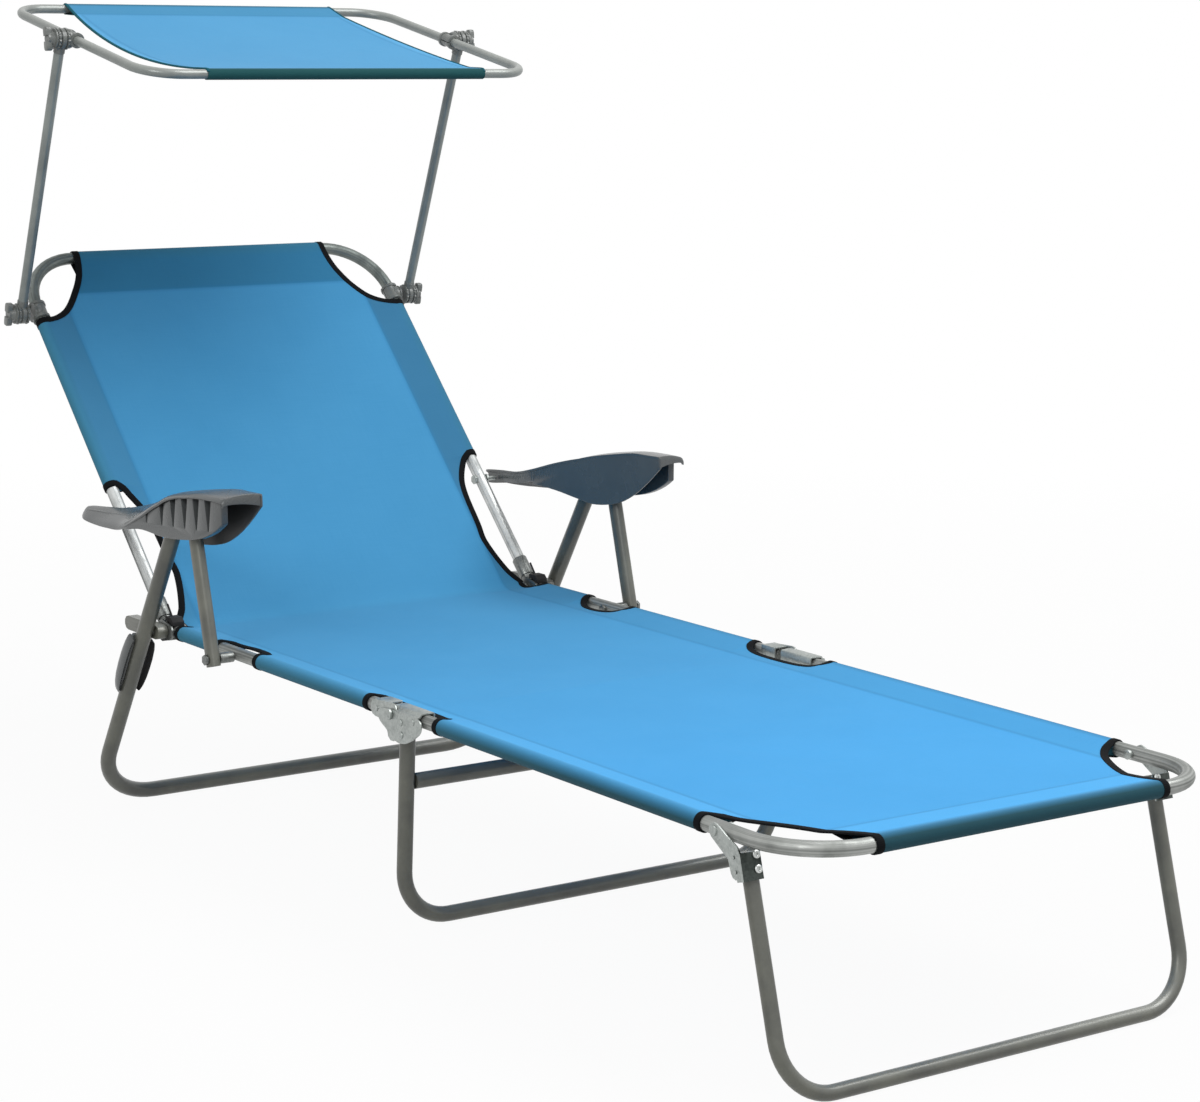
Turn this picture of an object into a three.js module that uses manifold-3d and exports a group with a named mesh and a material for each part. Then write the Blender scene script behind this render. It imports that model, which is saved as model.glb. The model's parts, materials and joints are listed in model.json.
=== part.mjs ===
import * as THREE from 'three';
import { mergeVertices } from 'three/addons/utils/BufferGeometryUtils.js';
import Module from 'manifold-3d';

// A sun lounger with a folding frame in three sections and a tilting canopy.
// Millimetres, +Z up, +Y towards the head, the person's left hand on -X.
// Heights and lengths are measured from the floor and from the axis of the foot tube.

const wasm = await Module();
wasm.setup();

// Bed frame
const rail_x = 275;
const bed_height = 255;
const hinge_y = 709;
const recline_y = 1261;
const back_length = 610.6;
const back_angle_deg = 45.3;
const frame_radius = 8;
const frame_bend = 80;

// Clearances shared by every fit
const fit = 0.3;
const overrun = 3;

// Rear leg with the armrest on its top
const rear_leg_outset = 35;
const rear_leg_x = rail_x + rear_leg_outset;
const rear_leg_radius = 10;
const rear_leg_slope_share = 0.6;
const rear_leg_bend = 82;
const rear_leg_top_extra = 9;
const bolt_cover = 2.5;
const arm_pivot_rise = 150;
const arm_pin_travel = 184;

// Middle leg
const mid_leg_inset = 11;
const mid_leg_x = rail_x - mid_leg_inset;
const mid_leg_radius = 9;
const mid_leg_floor_y = 720;
const mid_leg_bend = 60;
const mid_pivot_drop = 22;
const crossbar_drop = 60;

// Front leg
const front_leg_inset = 6;
const front_leg_x = rail_x - front_leg_inset;
const front_leg_radius = 8;
const front_leg_bend = 60;
const front_pivot_y = 122;
const front_leg_top_reach = 30.2;
const front_leg_top_drop = 16.4;
const front_leg_splay = 65.2;
const front_bracket_length = 17;
const front_face_length = 27;
const front_arm_radius = 8;
const front_screw_places = [3, 17];
const front_screw_radius = 2;

// Armrest posts
const post_foot_reach = 90.1;
const post_foot_drop = 2.2;
const post_run = 47.7;
const post_rise = 172.2;
const post_tail = 9;
const post_half_depth = 11;
const post_half_width = 8;

// Canopy
const canopy_outset = 9;
const canopy_x = rail_x + canopy_outset;
const canopy_radius = 6;
const canopy_bend = 50;
const canopy_depth = 406.4;
const canopy_angle_deg = 11.2;
const canopy_clamp_share = 0.52;
const canopy_edge_inset = 80;
const canopy_edge_x = canopy_x - canopy_edge_inset;
const canopy_edge_bulge = 9;
const canopy_sag = 16;
const strut_outset = 17;
const strut_x = canopy_x + strut_outset;
const strut_radius = 6.5;
const strut_length = 388.1;
const strut_angle_deg = 111.05;
const strut_below_head = 91.6;

// Sheet metal, bolts and cloth
const plate_thickness = 2;
const cheek_thickness = 2.5;
const bolt_radius = 4;
const rivet_radius = 3;
const head_radius = 6.5;
const rivet_head_radius = 5.2;
const head_thickness = 3.5;
const cloth = 1.2;
const cloth_fit = 0.4;

// Heights and places that follow from the sizes above
const rear_leg_floor_y = recline_y + (bed_height - rear_leg_radius) * rear_leg_slope_share;
const arm_pivot_y = recline_y - arm_pivot_rise * rear_leg_slope_share;
const arm_pivot_z = bed_height + arm_pivot_rise;
const post_foot_y = arm_pivot_y - post_foot_reach;
const post_foot_z = bed_height - post_foot_drop;
const post_top_y = post_foot_y + post_run;
const post_top_z = post_foot_z + post_rise;
const front_leg_top_y = front_pivot_y - front_leg_top_reach;
const front_leg_top_z = bed_height - front_leg_top_drop;
const front_leg_floor_y = front_leg_top_y - front_leg_splay;
const strut_foot_travel = back_length - strut_below_head;

// Number of flat sides on round work and of steps round a bend
const tube_sides = 16;
const bend_steps = 5;
const hexagon_sides = 6;
const turn = 2 * Math.PI;

// Colours of the materials
const looks = {
  rail: [0xb9bcbc, 0.35, 0.85], leg: [0x7b7b76, 0.5, 0.3], zinc: [0xb4bab8, 0.4, 0.85],
  plastic: [0x77757a, 0.55, 0], black: [0x1b1b1d, 0.7, 0], blue: [0x4b9cd0, 0.85, 0],
};
const left_and_right = [['left', -1], ['right', 1]];
const root = new THREE.Group();
root.name = 'sun_lounger_with_canopy';

// Solids and meshes
function solid(geometry) {
  geometry.deleteAttribute('normal');
  geometry.deleteAttribute('uv');
  const welded = mergeVertices(geometry);
  return new wasm.Manifold(new wasm.Mesh({
    numProp: 3, vertProperties: welded.attributes.position.array, triVerts: new Uint32Array(welded.index.array),
  }));
}

function join(...bodies) {
  return bodies.reduce((whole, body) => whole.add(body));
}

function cut(body, ...tools) {
  return tools.reduce((rest, tool) => rest.subtract(tool), body);
}

function piece(name, body, look) {
  const mesh = body.getMesh();
  const geometry = new THREE.BufferGeometry();
  geometry.setAttribute('position', new THREE.BufferAttribute(new Float32Array(mesh.vertProperties), 3));
  geometry.setIndex(new THREE.BufferAttribute(new Uint32Array(mesh.triVerts), 1));
  geometry.computeVertexNormals();
  const [color, roughness, metalness] = looks[look];
  const part = new THREE.Mesh(geometry, new THREE.MeshStandardMaterial({ color, roughness, metalness }));
  part.name = name;
  root.add(part);
}

// Outlines in the side plane: lists of [y, z]
function disc_outline(y, z, radius, sides = tube_sides) {
  return Array.from({ length: sides }, (_, i) => {
    const a = (i + 0.5) * turn / sides;
    return [y + radius * Math.cos(a), z + radius * Math.sin(a)];
  });
}

function toothed_outline(y, z, radius, depth, teeth) {
  return Array.from({ length: 2 * teeth }, (_, i) => {
    const a = i * Math.PI / teeth;
    const r = i % 2 ? radius : radius - depth;
    return [y + r * Math.cos(a), z + r * Math.sin(a)];
  });
}

// A bar with round ends between two points of the side plane
function bar_outline([y0, z0], [y1, z1], radius0, radius1 = radius0, steps = 5) {
  const heading = Math.atan2(z1 - z0, y1 - y0);
  const arc = (y, z, radius, start) => Array.from({ length: steps + 1 }, (_, i) => {
    const a = start + i * Math.PI / steps;
    return [y + radius * Math.cos(a), z + radius * Math.sin(a)];
  });
  return [...arc(y1, z1, radius1, heading - Math.PI / 2), ...arc(y0, z0, radius0, heading + Math.PI / 2)];
}

// A plate with the given outline between two distances from the middle plane
function plate(outline, side, inner_x, outer_x) {
  const shape = new THREE.Shape(outline.map(([y, z]) => new THREE.Vector2(y, z)));
  const geometry = new THREE.ExtrudeGeometry(shape, { depth: outer_x - inner_x, bevelEnabled: false, steps: 1 });
  const turned = new THREE.Matrix4().set(0, 0, 1, 0, 1, 0, 0, 0, 0, 1, 0, 0, 0, 0, 0, 1);
  geometry.applyMatrix4(turned);
  geometry.translate(side > 0 ? inner_x : -outer_x, 0, 0);
  return solid(geometry);
}

function axle(y, z, radius, side, inner_x, outer_x, sides = tube_sides) {
  return plate(disc_outline(y, z, radius, sides), side, inner_x, outer_x);
}

function block(side, inner_x, outer_x, y0, y1, z0, z1) {
  return plate([[y0, z0], [y1, z0], [y1, z1], [y0, z1]], side, inner_x, outer_x);
}

// A path of straight runs joined by round bends that lie in one plane
class BentPath extends THREE.Curve {
  constructor(corners, radius, closing_gap = 0) {
    super();
    this.stations = [];
    this.plane = new THREE.Vector3().subVectors(corners[1], corners[0])
      .cross(new THREE.Vector3().subVectors(corners[2] ?? corners[1], corners[1]));
    if (this.plane.lengthSq() < Number.EPSILON) this.plane.set(1, 0, 0);
    if (Math.abs(this.plane.clone().normalize().dot(this.heading(corners, 0))) > 0.99) this.plane.set(0, 0, 1);
    this.plane.normalize();
    this.add(corners[0], this.heading(corners, 0));
    for (let i = 1; i < corners.length - 1; i += 1) this.bend(corners, i, radius);
    this.add(corners.at(-1), this.heading(corners, corners.length - 2));
    this.closing_gap = closing_gap;
  }

  heading(corners, i) {
    return new THREE.Vector3().subVectors(corners[i + 1], corners[i]).normalize();
  }

  add(point, tangent) {
    this.stations.push({ point: point.clone(), tangent: tangent.clone() });
  }

  bend(corners, i, radius) {
    const before = this.heading(corners, i - 1);
    const after = this.heading(corners, i);
    const angle = before.angleTo(after);
    const inward = new THREE.Vector3().crossVectors(this.plane, before);
    const start = corners[i].clone().addScaledVector(before, -radius * Math.tan(angle / 2));
    const centre = start.clone().addScaledVector(inward, radius);
    for (let k = 0; k <= bend_steps; k += 1) {
      const a = angle * k / bend_steps;
      const spoke = inward.clone().multiplyScalar(-radius).applyAxisAngle(this.plane, a);
      this.add(centre.clone().add(spoke), before.clone().applyAxisAngle(this.plane, a));
    }
  }

  getSpacedPoints() {
    return this.stations.map((s) => s.point);
  }

  computeFrenetFrames() {
    const tangents = this.stations.map((s) => s.tangent);
    const normals = tangents.map(() => this.plane.clone());
    const binormals = tangents.map((t) => new THREE.Vector3().crossVectors(t, this.plane));
    return { tangents, normals, binormals };
  }
}

// A rod with a round or oval section along such a path
function rod(corners, radius, bend = 0, half_width = radius, sides = tube_sides) {
  const path = new BentPath(corners.map((c) => new THREE.Vector3(...c)), bend);
  const section = new THREE.Shape(disc_outline(0, 0, 1, sides)
    .map(([a, b]) => new THREE.Vector2(a * half_width, b * radius)));
  return solid(new THREE.ExtrudeGeometry(section, { extrudePath: path, steps: path.stations.length - 1 }));
}

// A slab between two grids of points with the same rows and columns
function slab(top, bottom) {
  const rows = top.length;
  const columns = top[0].length;
  const points = [...top.flat(), ...bottom.flat()].flat();
  const at = (layer, i, j) => layer * rows * columns + i * columns + j;
  const index = [];
  const quad = (a, b, c, d) => index.push(a, b, c, a, c, d);
  for (let i = 0; i < rows - 1; i += 1) {
    for (let j = 0; j < columns - 1; j += 1) {
      quad(at(0, i, j), at(0, i + 1, j), at(0, i + 1, j + 1), at(0, i, j + 1));
      quad(at(1, i, j), at(1, i, j + 1), at(1, i + 1, j + 1), at(1, i + 1, j));
    }
    quad(at(0, i, 0), at(1, i, 0), at(1, i + 1, 0), at(0, i + 1, 0));
    quad(at(0, i + 1, columns - 1), at(1, i + 1, columns - 1), at(1, i, columns - 1), at(0, i, columns - 1));
  }
  for (let j = 0; j < columns - 1; j += 1) {
    quad(at(0, 0, j + 1), at(1, 0, j + 1), at(1, 0, j), at(0, 0, j));
    quad(at(0, rows - 1, j), at(1, rows - 1, j), at(1, rows - 1, j + 1), at(0, rows - 1, j + 1));
  }
  const geometry = new THREE.BufferGeometry();
  geometry.setAttribute('position', new THREE.BufferAttribute(new Float32Array(points), 3));
  geometry.setIndex(index);
  const body = solid(geometry);
  return body.volume() < 0 ? solid(flipped(geometry)) : body;
}

function flipped(geometry) {
  const index = Array.from(geometry.index.array);
  for (let i = 0; i < index.length; i += 3) [index[i], index[i + 1]] = [index[i + 1], index[i]];
  geometry.setIndex(index);
  return geometry;
}

// Sloping frames: a point at a travel along the slope and a rise square to it
function slope(origin_y, origin_z, degrees) {
  const a = THREE.MathUtils.degToRad(degrees);
  return {
    at: (x, travel, rise = 0) => [
      x, origin_y + travel * Math.cos(a) - rise * Math.sin(a), origin_z + travel * Math.sin(a) + rise * Math.cos(a),
    ],
    side_at(travel, rise = 0) {
      return this.at(0, travel, rise).slice(1);
    },
  };
}
const back = slope(recline_y, bed_height, back_angle_deg);
const bed = slope(0, bed_height, 0);
const [clamp_y, clamp_z] = back.side_at(strut_foot_travel);
const [roof_clamp_y, roof_clamp_z] = slope(clamp_y, clamp_z, strut_angle_deg).side_at(strut_length);
const roof_front = slope(roof_clamp_y, roof_clamp_z, canopy_angle_deg).side_at(-canopy_depth * canopy_clamp_share);
const roof = slope(...roof_front, canopy_angle_deg);

// Cloth panels
const cloth_low = frame_radius + cloth_fit;
const cloth_high = cloth_low + cloth;

function sleeve(plane, from, to, inner_radius) {
  const ends = [plane.at(from[0], from[1]), plane.at(to[0], to[1])];
  const stretched = (share) => ends[0].map((v, i) => v + (ends[1][i] - v) * share);
  const length = Math.hypot(...ends[0].map((v, i) => v - ends[1][i]));
  const past = overrun / length;
  return cut(rod(ends, inner_radius + cloth), rod([stretched(-past), stretched(1 + past)], inner_radius));
}

// The flat web of a panel from half its outline, given as [x, travel] from one end to the other
function web(plane, half_outline, low, high) {
  const outline = [...half_outline, ...half_outline.toReversed().map(([x, t]) => [-x, t])];
  const shape = new THREE.Shape(outline.map(([x, t]) => new THREE.Vector2(x, t)));
  const geometry = new THREE.ExtrudeGeometry(shape, { depth: high - low, bevelEnabled: false, steps: 1 });
  const position = geometry.attributes.position;
  for (let i = 0; i < position.count; i += 1) {
    position.setXYZ(i, ...plane.at(position.getX(i), position.getY(i), low + position.getZ(i)));
  }
  return solid(geometry);
}

// Seat frame
const rail_gap = 10;
const ratchet_gap = 13.5;
const seat_rail_start = hinge_y + rail_gap;
const seat_rail_end = recline_y - ratchet_gap;
const post_bolt_radius = 3.5;

function add_seat_rails() {
  for (const [word, side] of left_and_right) {
    const ends = [[side * rail_x, seat_rail_start, bed_height], [side * rail_x, seat_rail_end, bed_height]];
    const bolt_hole = axle(post_foot_y, post_foot_z, post_bolt_radius + fit, side,
      rail_x - frame_radius - overrun, rail_x + frame_radius + overrun);
    piece(`seat_rail_${word}`, cut(rod(ends, frame_radius), bolt_hole), 'rail');
  }
}

const notch_gap = 5;
const notch_x = rail_x - frame_radius - notch_gap;
const hinge_notch_front = 82;
const hinge_notch_back = 57;
const hinge_notch = { foot_end: hinge_y - hinge_notch_front, seat_end: hinge_y + hinge_notch_back };
const post_notch_front = 51;
const post_notch_back = 40;
const post_notch = { foot_end: post_foot_y - post_notch_front, head_end: post_foot_y + post_notch_back };
const crease_gap = 9;
const crease_y = recline_y - crease_gap;
const crease_side_gap = 15;
const crease_half_width = rail_x - crease_side_gap;
const ratchet_clearance = 31;
const seat_sleeve_end = recline_y - ratchet_clearance;

function add_seat_fabric() {
  const half = [
    [notch_x, hinge_y + frame_radius], [notch_x, hinge_notch.seat_end - cloth], [rail_x, hinge_notch.seat_end],
    [rail_x, post_notch.foot_end], [notch_x, post_notch.foot_end + overrun],
    [notch_x, post_notch.head_end - overrun], [rail_x, post_notch.head_end],
    [rail_x, seat_sleeve_end], [notch_x, seat_sleeve_end + overrun], [crease_half_width, crease_y],
  ];
  const sleeves = [-rail_x, rail_x].flatMap((x) => [
    sleeve(bed, [x, hinge_notch.seat_end], [x, post_notch.foot_end], cloth_low),
    sleeve(bed, [x, post_notch.head_end], [x, seat_sleeve_end], cloth_low),
  ]);
  piece('seat_fabric', join(web(bed, half, cloth_low, cloth_high), ...sleeves), 'blue');
}

// Rear leg
const rear_lean = Math.atan2(rear_leg_floor_y - arm_pivot_y, arm_pivot_z - rear_leg_radius);
const bolt_hole_radius = bolt_radius + fit;
const recline_bolt_end = rear_leg_x + rear_leg_radius - bolt_cover;

function add_rear_leg() {
  const top_y = arm_pivot_y - rear_leg_top_extra * Math.sin(rear_lean);
  const top_z = arm_pivot_z + rear_leg_top_extra * Math.cos(rear_lean);
  const corners = [-1, 1].flatMap((side) => {
    const run = [[side * rear_leg_x, top_y, top_z], [side * rear_leg_x, rear_leg_floor_y, rear_leg_radius]];
    return side < 0 ? run : run.toReversed();
  });
  const leg_inner = rear_leg_x - rear_leg_radius - overrun;
  const holes = left_and_right.flatMap(([, side]) => [
    axle(arm_pivot_y, arm_pivot_z, bolt_hole_radius, side, leg_inner, rear_leg_x + rear_leg_radius + overrun),
    axle(recline_y, bed_height, bolt_hole_radius, side, leg_inner, recline_bolt_end + fit),
  ]);
  piece('rear_leg', cut(rod(corners, rear_leg_radius, rear_leg_bend), ...holes), 'leg');
}

// Plastic pads clipped behind the rear leg
const pad_start = 9;
const pad_inner_start = 27;
const pad_end = 96;
const pad_inner_reach = 28;
const pad_outer_reach = 17;
const pad_front = -4;
const pad_back = 14;
const pad_stations_shares = [0, 0.1, 0.3, 0.5, 0.7, 0.85, 0.95, 1];
const pad_width_shares = [0.78, 0.9, 1, 1, 0.92, 0.76, 0.58, 0.4];

function add_leg_pads() {
  const leg = slope(recline_y, bed_height, -90 + THREE.MathUtils.radToDeg(rear_lean));
  for (const [word, side] of left_and_right) {
    const edges = [[-pad_inner_reach, pad_inner_start], [pad_outer_reach, pad_start]];
    const face = (rise) => pad_stations_shares.map((share, i) => edges.map(([reach, start]) => (
      leg.at(side * (rear_leg_x + reach * pad_width_shares[i]), THREE.MathUtils.lerp(start, pad_end, share), rise))));
    const body = slab(face(pad_back), face(pad_front));
    const groove = rod([leg.at(side * rear_leg_x, 0), leg.at(side * rear_leg_x, pad_end + overrun)],
      rear_leg_radius + fit);
    const mouth = slab(
      [0, pad_end + overrun].map((t) => [-1, 1].map((w) => (
        leg.at(side * rear_leg_x + w * rear_leg_radius, t, 0)))),
      [0, pad_end + overrun].map((t) => [-1, 1].map((w) => (
        leg.at(side * rear_leg_x + w * rear_leg_radius, t, pad_front - overrun)))),
    );
    piece(`leg_pad_${word}`, cut(body, groove, mouth), 'plastic');
  }
}

// Ratchet hinge between seat and backrest
const cheek_inner_x = rail_x - frame_radius - fit - cheek_thickness;
const cheek_outer_x = rail_x + frame_radius + fit + cheek_thickness;
const cheek_radius = 14;
const cheek_length = 18;
const tongue_radius = 12.5;
const ratchet_teeth = 14;
const ratchet_tooth = 1.2;
const socket_radius = 10;
const socket_start = 17;
const socket_end = 45;
const back_tube_start = 20;
const link_inner_x = cheek_outer_x + fit;
const link_outer_x = rear_leg_x - rear_leg_radius - fit;
const link_radius = 9;
const link_front = 9;
const link_rear = 67;

function add_ratchets() {
  for (const [word, side] of left_and_right) {
    const pin_hole = axle(recline_y, bed_height, bolt_hole_radius, side, cheek_inner_x - overrun,
      rear_leg_x + rear_leg_radius);
    const outline = bar_outline([recline_y, bed_height], [recline_y - cheek_length, bed_height],
      cheek_radius, frame_radius + plate_thickness);
    const cheeks = [[cheek_inner_x, cheek_inner_x + cheek_thickness], [cheek_outer_x - cheek_thickness, cheek_outer_x]]
      .map(([a, b]) => plate(outline, side, a, b));
    const floor = block(side, cheek_inner_x, cheek_outer_x, recline_y - cheek_length, recline_y - cheek_radius,
      bed_height - frame_radius - fit - plate_thickness, bed_height - frame_radius - fit);
    piece(`ratchet_lower_${word}`, cut(join(...cheeks, floor), pin_hole), 'zinc');

    const tongue = plate(toothed_outline(recline_y, bed_height, tongue_radius, ratchet_tooth, ratchet_teeth), side,
      rail_x - frame_radius, rail_x + frame_radius);
    const neck = rod([back.at(side * rail_x, 0), back.at(side * rail_x, socket_start + plate_thickness)], frame_radius);
    const socket = cut(
      rod([back.at(side * rail_x, socket_start), back.at(side * rail_x, socket_end)], socket_radius),
      rod([back.at(side * rail_x, back_tube_start - fit), back.at(side * rail_x, socket_end + overrun)],
        frame_radius + fit),
    );
    piece(`ratchet_upper_${word}`, cut(join(tongue, neck, socket), pin_hole), 'zinc');

    const link = plate(bar_outline([recline_y - link_front, bed_height], [recline_y + link_rear, bed_height],
      link_radius), side, link_inner_x, link_outer_x);
    piece(`rail_end_link_${word}`, cut(link, pin_hole), 'leg');

    const head_inner = cheek_inner_x - fit - head_thickness;
    const shaft = axle(recline_y, bed_height, bolt_radius, side, head_inner + overrun / 2, recline_bolt_end);
    const head = axle(recline_y, bed_height, head_radius, side, head_inner, head_inner + head_thickness);
    piece(`recline_bolt_${word}`, join(shaft, head), 'zinc');
  }
}

// Black caps over the ratchets, each with a thin release prong
const cap_height = 5;
const cap_start = 24;
const cap_end = 4;
const prong_radius = 1.3;
const prong_reach = 14;
const prong_height = 18;

function add_hinge_caps() {
  const low = bed_height + frame_radius + fit;
  for (const [word, side] of left_and_right) {
    const cap = plate([
      [recline_y - cap_start, low], [seat_rail_end, low], [seat_rail_end, bed_height + tongue_radius + fit],
      [recline_y - cap_end, bed_height + tongue_radius + fit], [recline_y - cap_end, low + 2 * cap_height],
      [recline_y - cap_start + cap_height, low + 2 * cap_height], [recline_y - cap_start, low + cap_height],
    ], side, rail_x - frame_radius, rail_x + frame_radius);
    const prong = rod([
      [side * rail_x, recline_y - cap_end - prong_radius - cap_height, low + cap_height],
      [side * rail_x, recline_y - cap_end + prong_reach - cap_height, low + cap_height + prong_height],
    ], prong_radius, 0, prong_radius, 8);
    piece(`hinge_cap_${word}`, join(cap, prong), 'black');
  }
}

// Armrest posts and their bolts
function add_posts() {
  const lean = Math.atan2(post_top_y - post_foot_y, post_top_z - post_foot_z);
  const bottom = [post_foot_y - post_tail * Math.sin(lean), post_foot_z - post_tail * Math.cos(lean)];
  for (const [word, side] of left_and_right) {
    const ends = [[side * rear_leg_x, ...bottom], [side * rear_leg_x, post_top_y, post_top_z]];
    const hole = axle(post_foot_y, post_foot_z, post_bolt_radius + fit, side,
      rear_leg_x - rear_leg_radius, rear_leg_x + rear_leg_radius);
    piece(`arm_post_${word}`, cut(rod(ends, post_half_depth, 0, post_half_width), hole), 'leg');

    const post_inner = rear_leg_x - post_half_width - fit;
    const post_outer = rear_leg_x + post_half_width + fit;
    const rail_inner = rail_x - frame_radius - fit;
    const shaft = axle(post_foot_y, post_foot_z, post_bolt_radius, side, rail_inner - head_thickness / 2,
      post_outer + head_thickness / 2);
    const spacer = axle(post_foot_y, post_foot_z, head_radius, side, rail_x + frame_radius + fit, post_inner);
    const ends_of_bolt = [[rail_inner - head_thickness, rail_inner], [post_outer, post_outer + head_thickness]]
      .map(([a, b]) => axle(post_foot_y, post_foot_z, head_radius, side, a, b, hexagon_sides));
    piece(`post_bolt_${word}`, join(shaft, spacer, ...ends_of_bolt), 'zinc');
  }
}

// Middle hinge brackets
const bracket_reach = 36;
const bracket_radius = 12;
const bracket_end_radius = 9.6;
const bracket_rivet_share = 0.86;
const foot_bracket_reach = 64;
const foot_plate_depth = 30;
const foot_plate_shares = [[0.39, 0.07], [0.22, 0.3], [-0.83, 0.3], [-1, 0.03], [-1, -0.23], [-0.91, -0.47],
  [-0.55, -0.9], [-0.28, -1], [-0.09, -0.9], [0.16, -0.6], [0.34, -0.4]];
const foot_rivet_shares = [[-0.34, -0.2], [-0.73, -0.03], [-0.36, -0.67]];
const fold_gap = 8;
const saddle_depth = 7;
const mid_pivot_z = bed_height - mid_pivot_drop;
const crossbar_z = mid_pivot_z - crossbar_drop;
const saddle_low = bed_height - saddle_depth;

function saddle(side, y0, y1, outer_low) {
  const [a, b] = [frame_radius + fit, frame_radius + fit + plate_thickness];
  return join(
    block(side, rail_x - b, rail_x - a, y0, y1, saddle_low, bed_height + b),
    block(side, rail_x - b, rail_x + b, y0, y1, bed_height + a, bed_height + b),
    block(side, rail_x + a, rail_x + b, y0, y1, outer_low, bed_height + b),
  );
}

function add_mid_brackets() {
  const side_plate = [rail_x + frame_radius + fit, rail_x + frame_radius + fit + plate_thickness];
  const lap = [side_plate[1] + fit, side_plate[1] + fit + plate_thickness];
  for (const [word, side] of left_and_right) {
    const pivot = [hinge_y, bed_height];
    const tail = plate(bar_outline(pivot, [hinge_y + bracket_reach, bed_height], bracket_radius, bracket_end_radius),
      side, ...side_plate);
    const lug = plate(bar_outline(pivot, [hinge_y, mid_pivot_z], bracket_radius, bracket_end_radius), side,
      ...side_plate);
    const pivot_pin = axle(...pivot, rivet_radius, side, side_plate[0], lap[1] + head_thickness / 2);
    const pivot_head = axle(...pivot, head_radius, side, lap[1] + fit, lap[1] + head_thickness);
    const leg_inner = mid_leg_x - mid_leg_radius - fit;
    const leg_pin = axle(hinge_y, mid_pivot_z, rivet_radius, side, leg_inner - head_thickness / 2, side_plate[1]);
    const leg_head = axle(hinge_y, mid_pivot_z, head_radius, side, leg_inner - head_thickness, leg_inner);
    const leg_spacer = axle(hinge_y, mid_pivot_z, head_radius, side, mid_leg_x + mid_leg_radius + fit, side_plate[1]);
    const rivet = axle(hinge_y + bracket_reach * bracket_rivet_share, bed_height, rivet_radius, side, side_plate[0],
      side_plate[1] + head_thickness / 2);
    piece(`mid_bracket_seat_${word}`, join(
      saddle(side, hinge_y + fold_gap + plate_thickness, hinge_y + bracket_reach, saddle_low),
      tail, lug, pivot_pin, pivot_head, leg_pin, leg_head, leg_spacer, rivet), 'zinc');

    const on_plate = ([y, z]) => [hinge_y + foot_bracket_reach * y, bed_height + foot_plate_depth * z];
    const arm = plate(foot_plate_shares.map(on_plate), side, ...lap);
    const channel_end = hinge_y - bracket_radius - overrun;
    const bridge = block(side, side_plate[0], lap[1], hinge_y - foot_bracket_reach, channel_end,
      saddle_low, bed_height + frame_radius + fit + plate_thickness);
    const foot_rivets = foot_rivet_shares.map(on_plate).map(([y, z]) => axle(y, z, rivet_radius, side, lap[0],
      lap[1] + head_thickness / 2));
    const hole = axle(...pivot, rivet_radius + fit, side, side_plate[0], lap[1] + overrun);
    piece(`mid_bracket_foot_${word}`, cut(join(
      saddle(side, hinge_y - foot_bracket_reach, channel_end, saddle_low),
      bridge, arm, ...foot_rivets), hole), 'zinc');
  }
}

// Middle leg and its crossbar
function add_mid_leg() {
  const corners = [-1, 1].flatMap((side) => {
    const run = [[side * mid_leg_x, hinge_y, mid_pivot_z + mid_leg_radius],
      [side * mid_leg_x, mid_leg_floor_y, mid_leg_radius]];
    return side < 0 ? run : run.toReversed();
  });
  const holes = left_and_right.map(([, side]) => axle(hinge_y, mid_pivot_z, rivet_radius + fit, side,
    mid_leg_x - mid_leg_radius - overrun, mid_leg_x + mid_leg_radius + overrun));
  piece('mid_leg', cut(rod(corners, mid_leg_radius, mid_leg_bend), ...holes), 'leg');
  const share = (mid_pivot_z - crossbar_z) / (mid_pivot_z - mid_leg_radius);
  const bar_y = hinge_y + share * (mid_leg_floor_y - hinge_y);
  const bar_end = mid_leg_x - mid_leg_radius - fit;
  piece('mid_crossbar', rod([[-bar_end, bar_y, crossbar_z], [bar_end, bar_y, crossbar_z]], mid_leg_radius), 'leg');
}

// Foot section: frame and cloth
const foot_rail_end = hinge_y - rail_gap;
const foot_sleeve_start = 148;
const foot_corner_inset = 82;
const foot_sleeve_x = rail_x - foot_corner_inset;
const foot_corner_shares = [[0, 0], [0.04, 0.2], [0.2, 0.5], [0.48, 0.78], [0.8, 0.97], [1, 1]];
const front_rivet_hole = rivet_radius + fit;

function add_foot_section() {
  const corners = [[-rail_x, foot_rail_end, bed_height], [-rail_x, 0, bed_height], [rail_x, 0, bed_height],
    [rail_x, foot_rail_end, bed_height]];
  const holes = left_and_right.map(([, side]) => axle(front_pivot_y, bed_height, front_rivet_hole, side,
    rail_x - frame_radius - overrun, rail_x + frame_radius + overrun));
  piece('foot_frame', cut(rod(corners, frame_radius, frame_bend), ...holes), 'rail');

  const half = [
    ...foot_corner_shares.map(([out, down]) => [foot_sleeve_x + out * (rail_x - foot_sleeve_x), down * foot_sleeve_start]),
    [rail_x, hinge_notch.foot_end],
    [notch_x, hinge_notch.foot_end + cloth], [notch_x, hinge_y - frame_radius],
  ];
  const sides = [-rail_x, rail_x].map((x) => sleeve(bed, [x, foot_sleeve_start], [x, hinge_notch.foot_end], cloth_low));
  const foot = sleeve(bed, [-foot_sleeve_x, 0], [foot_sleeve_x, 0], cloth_low);
  piece('foot_fabric', join(web(bed, half, cloth_low, cloth_high), ...sides, foot), 'blue');
}

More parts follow.
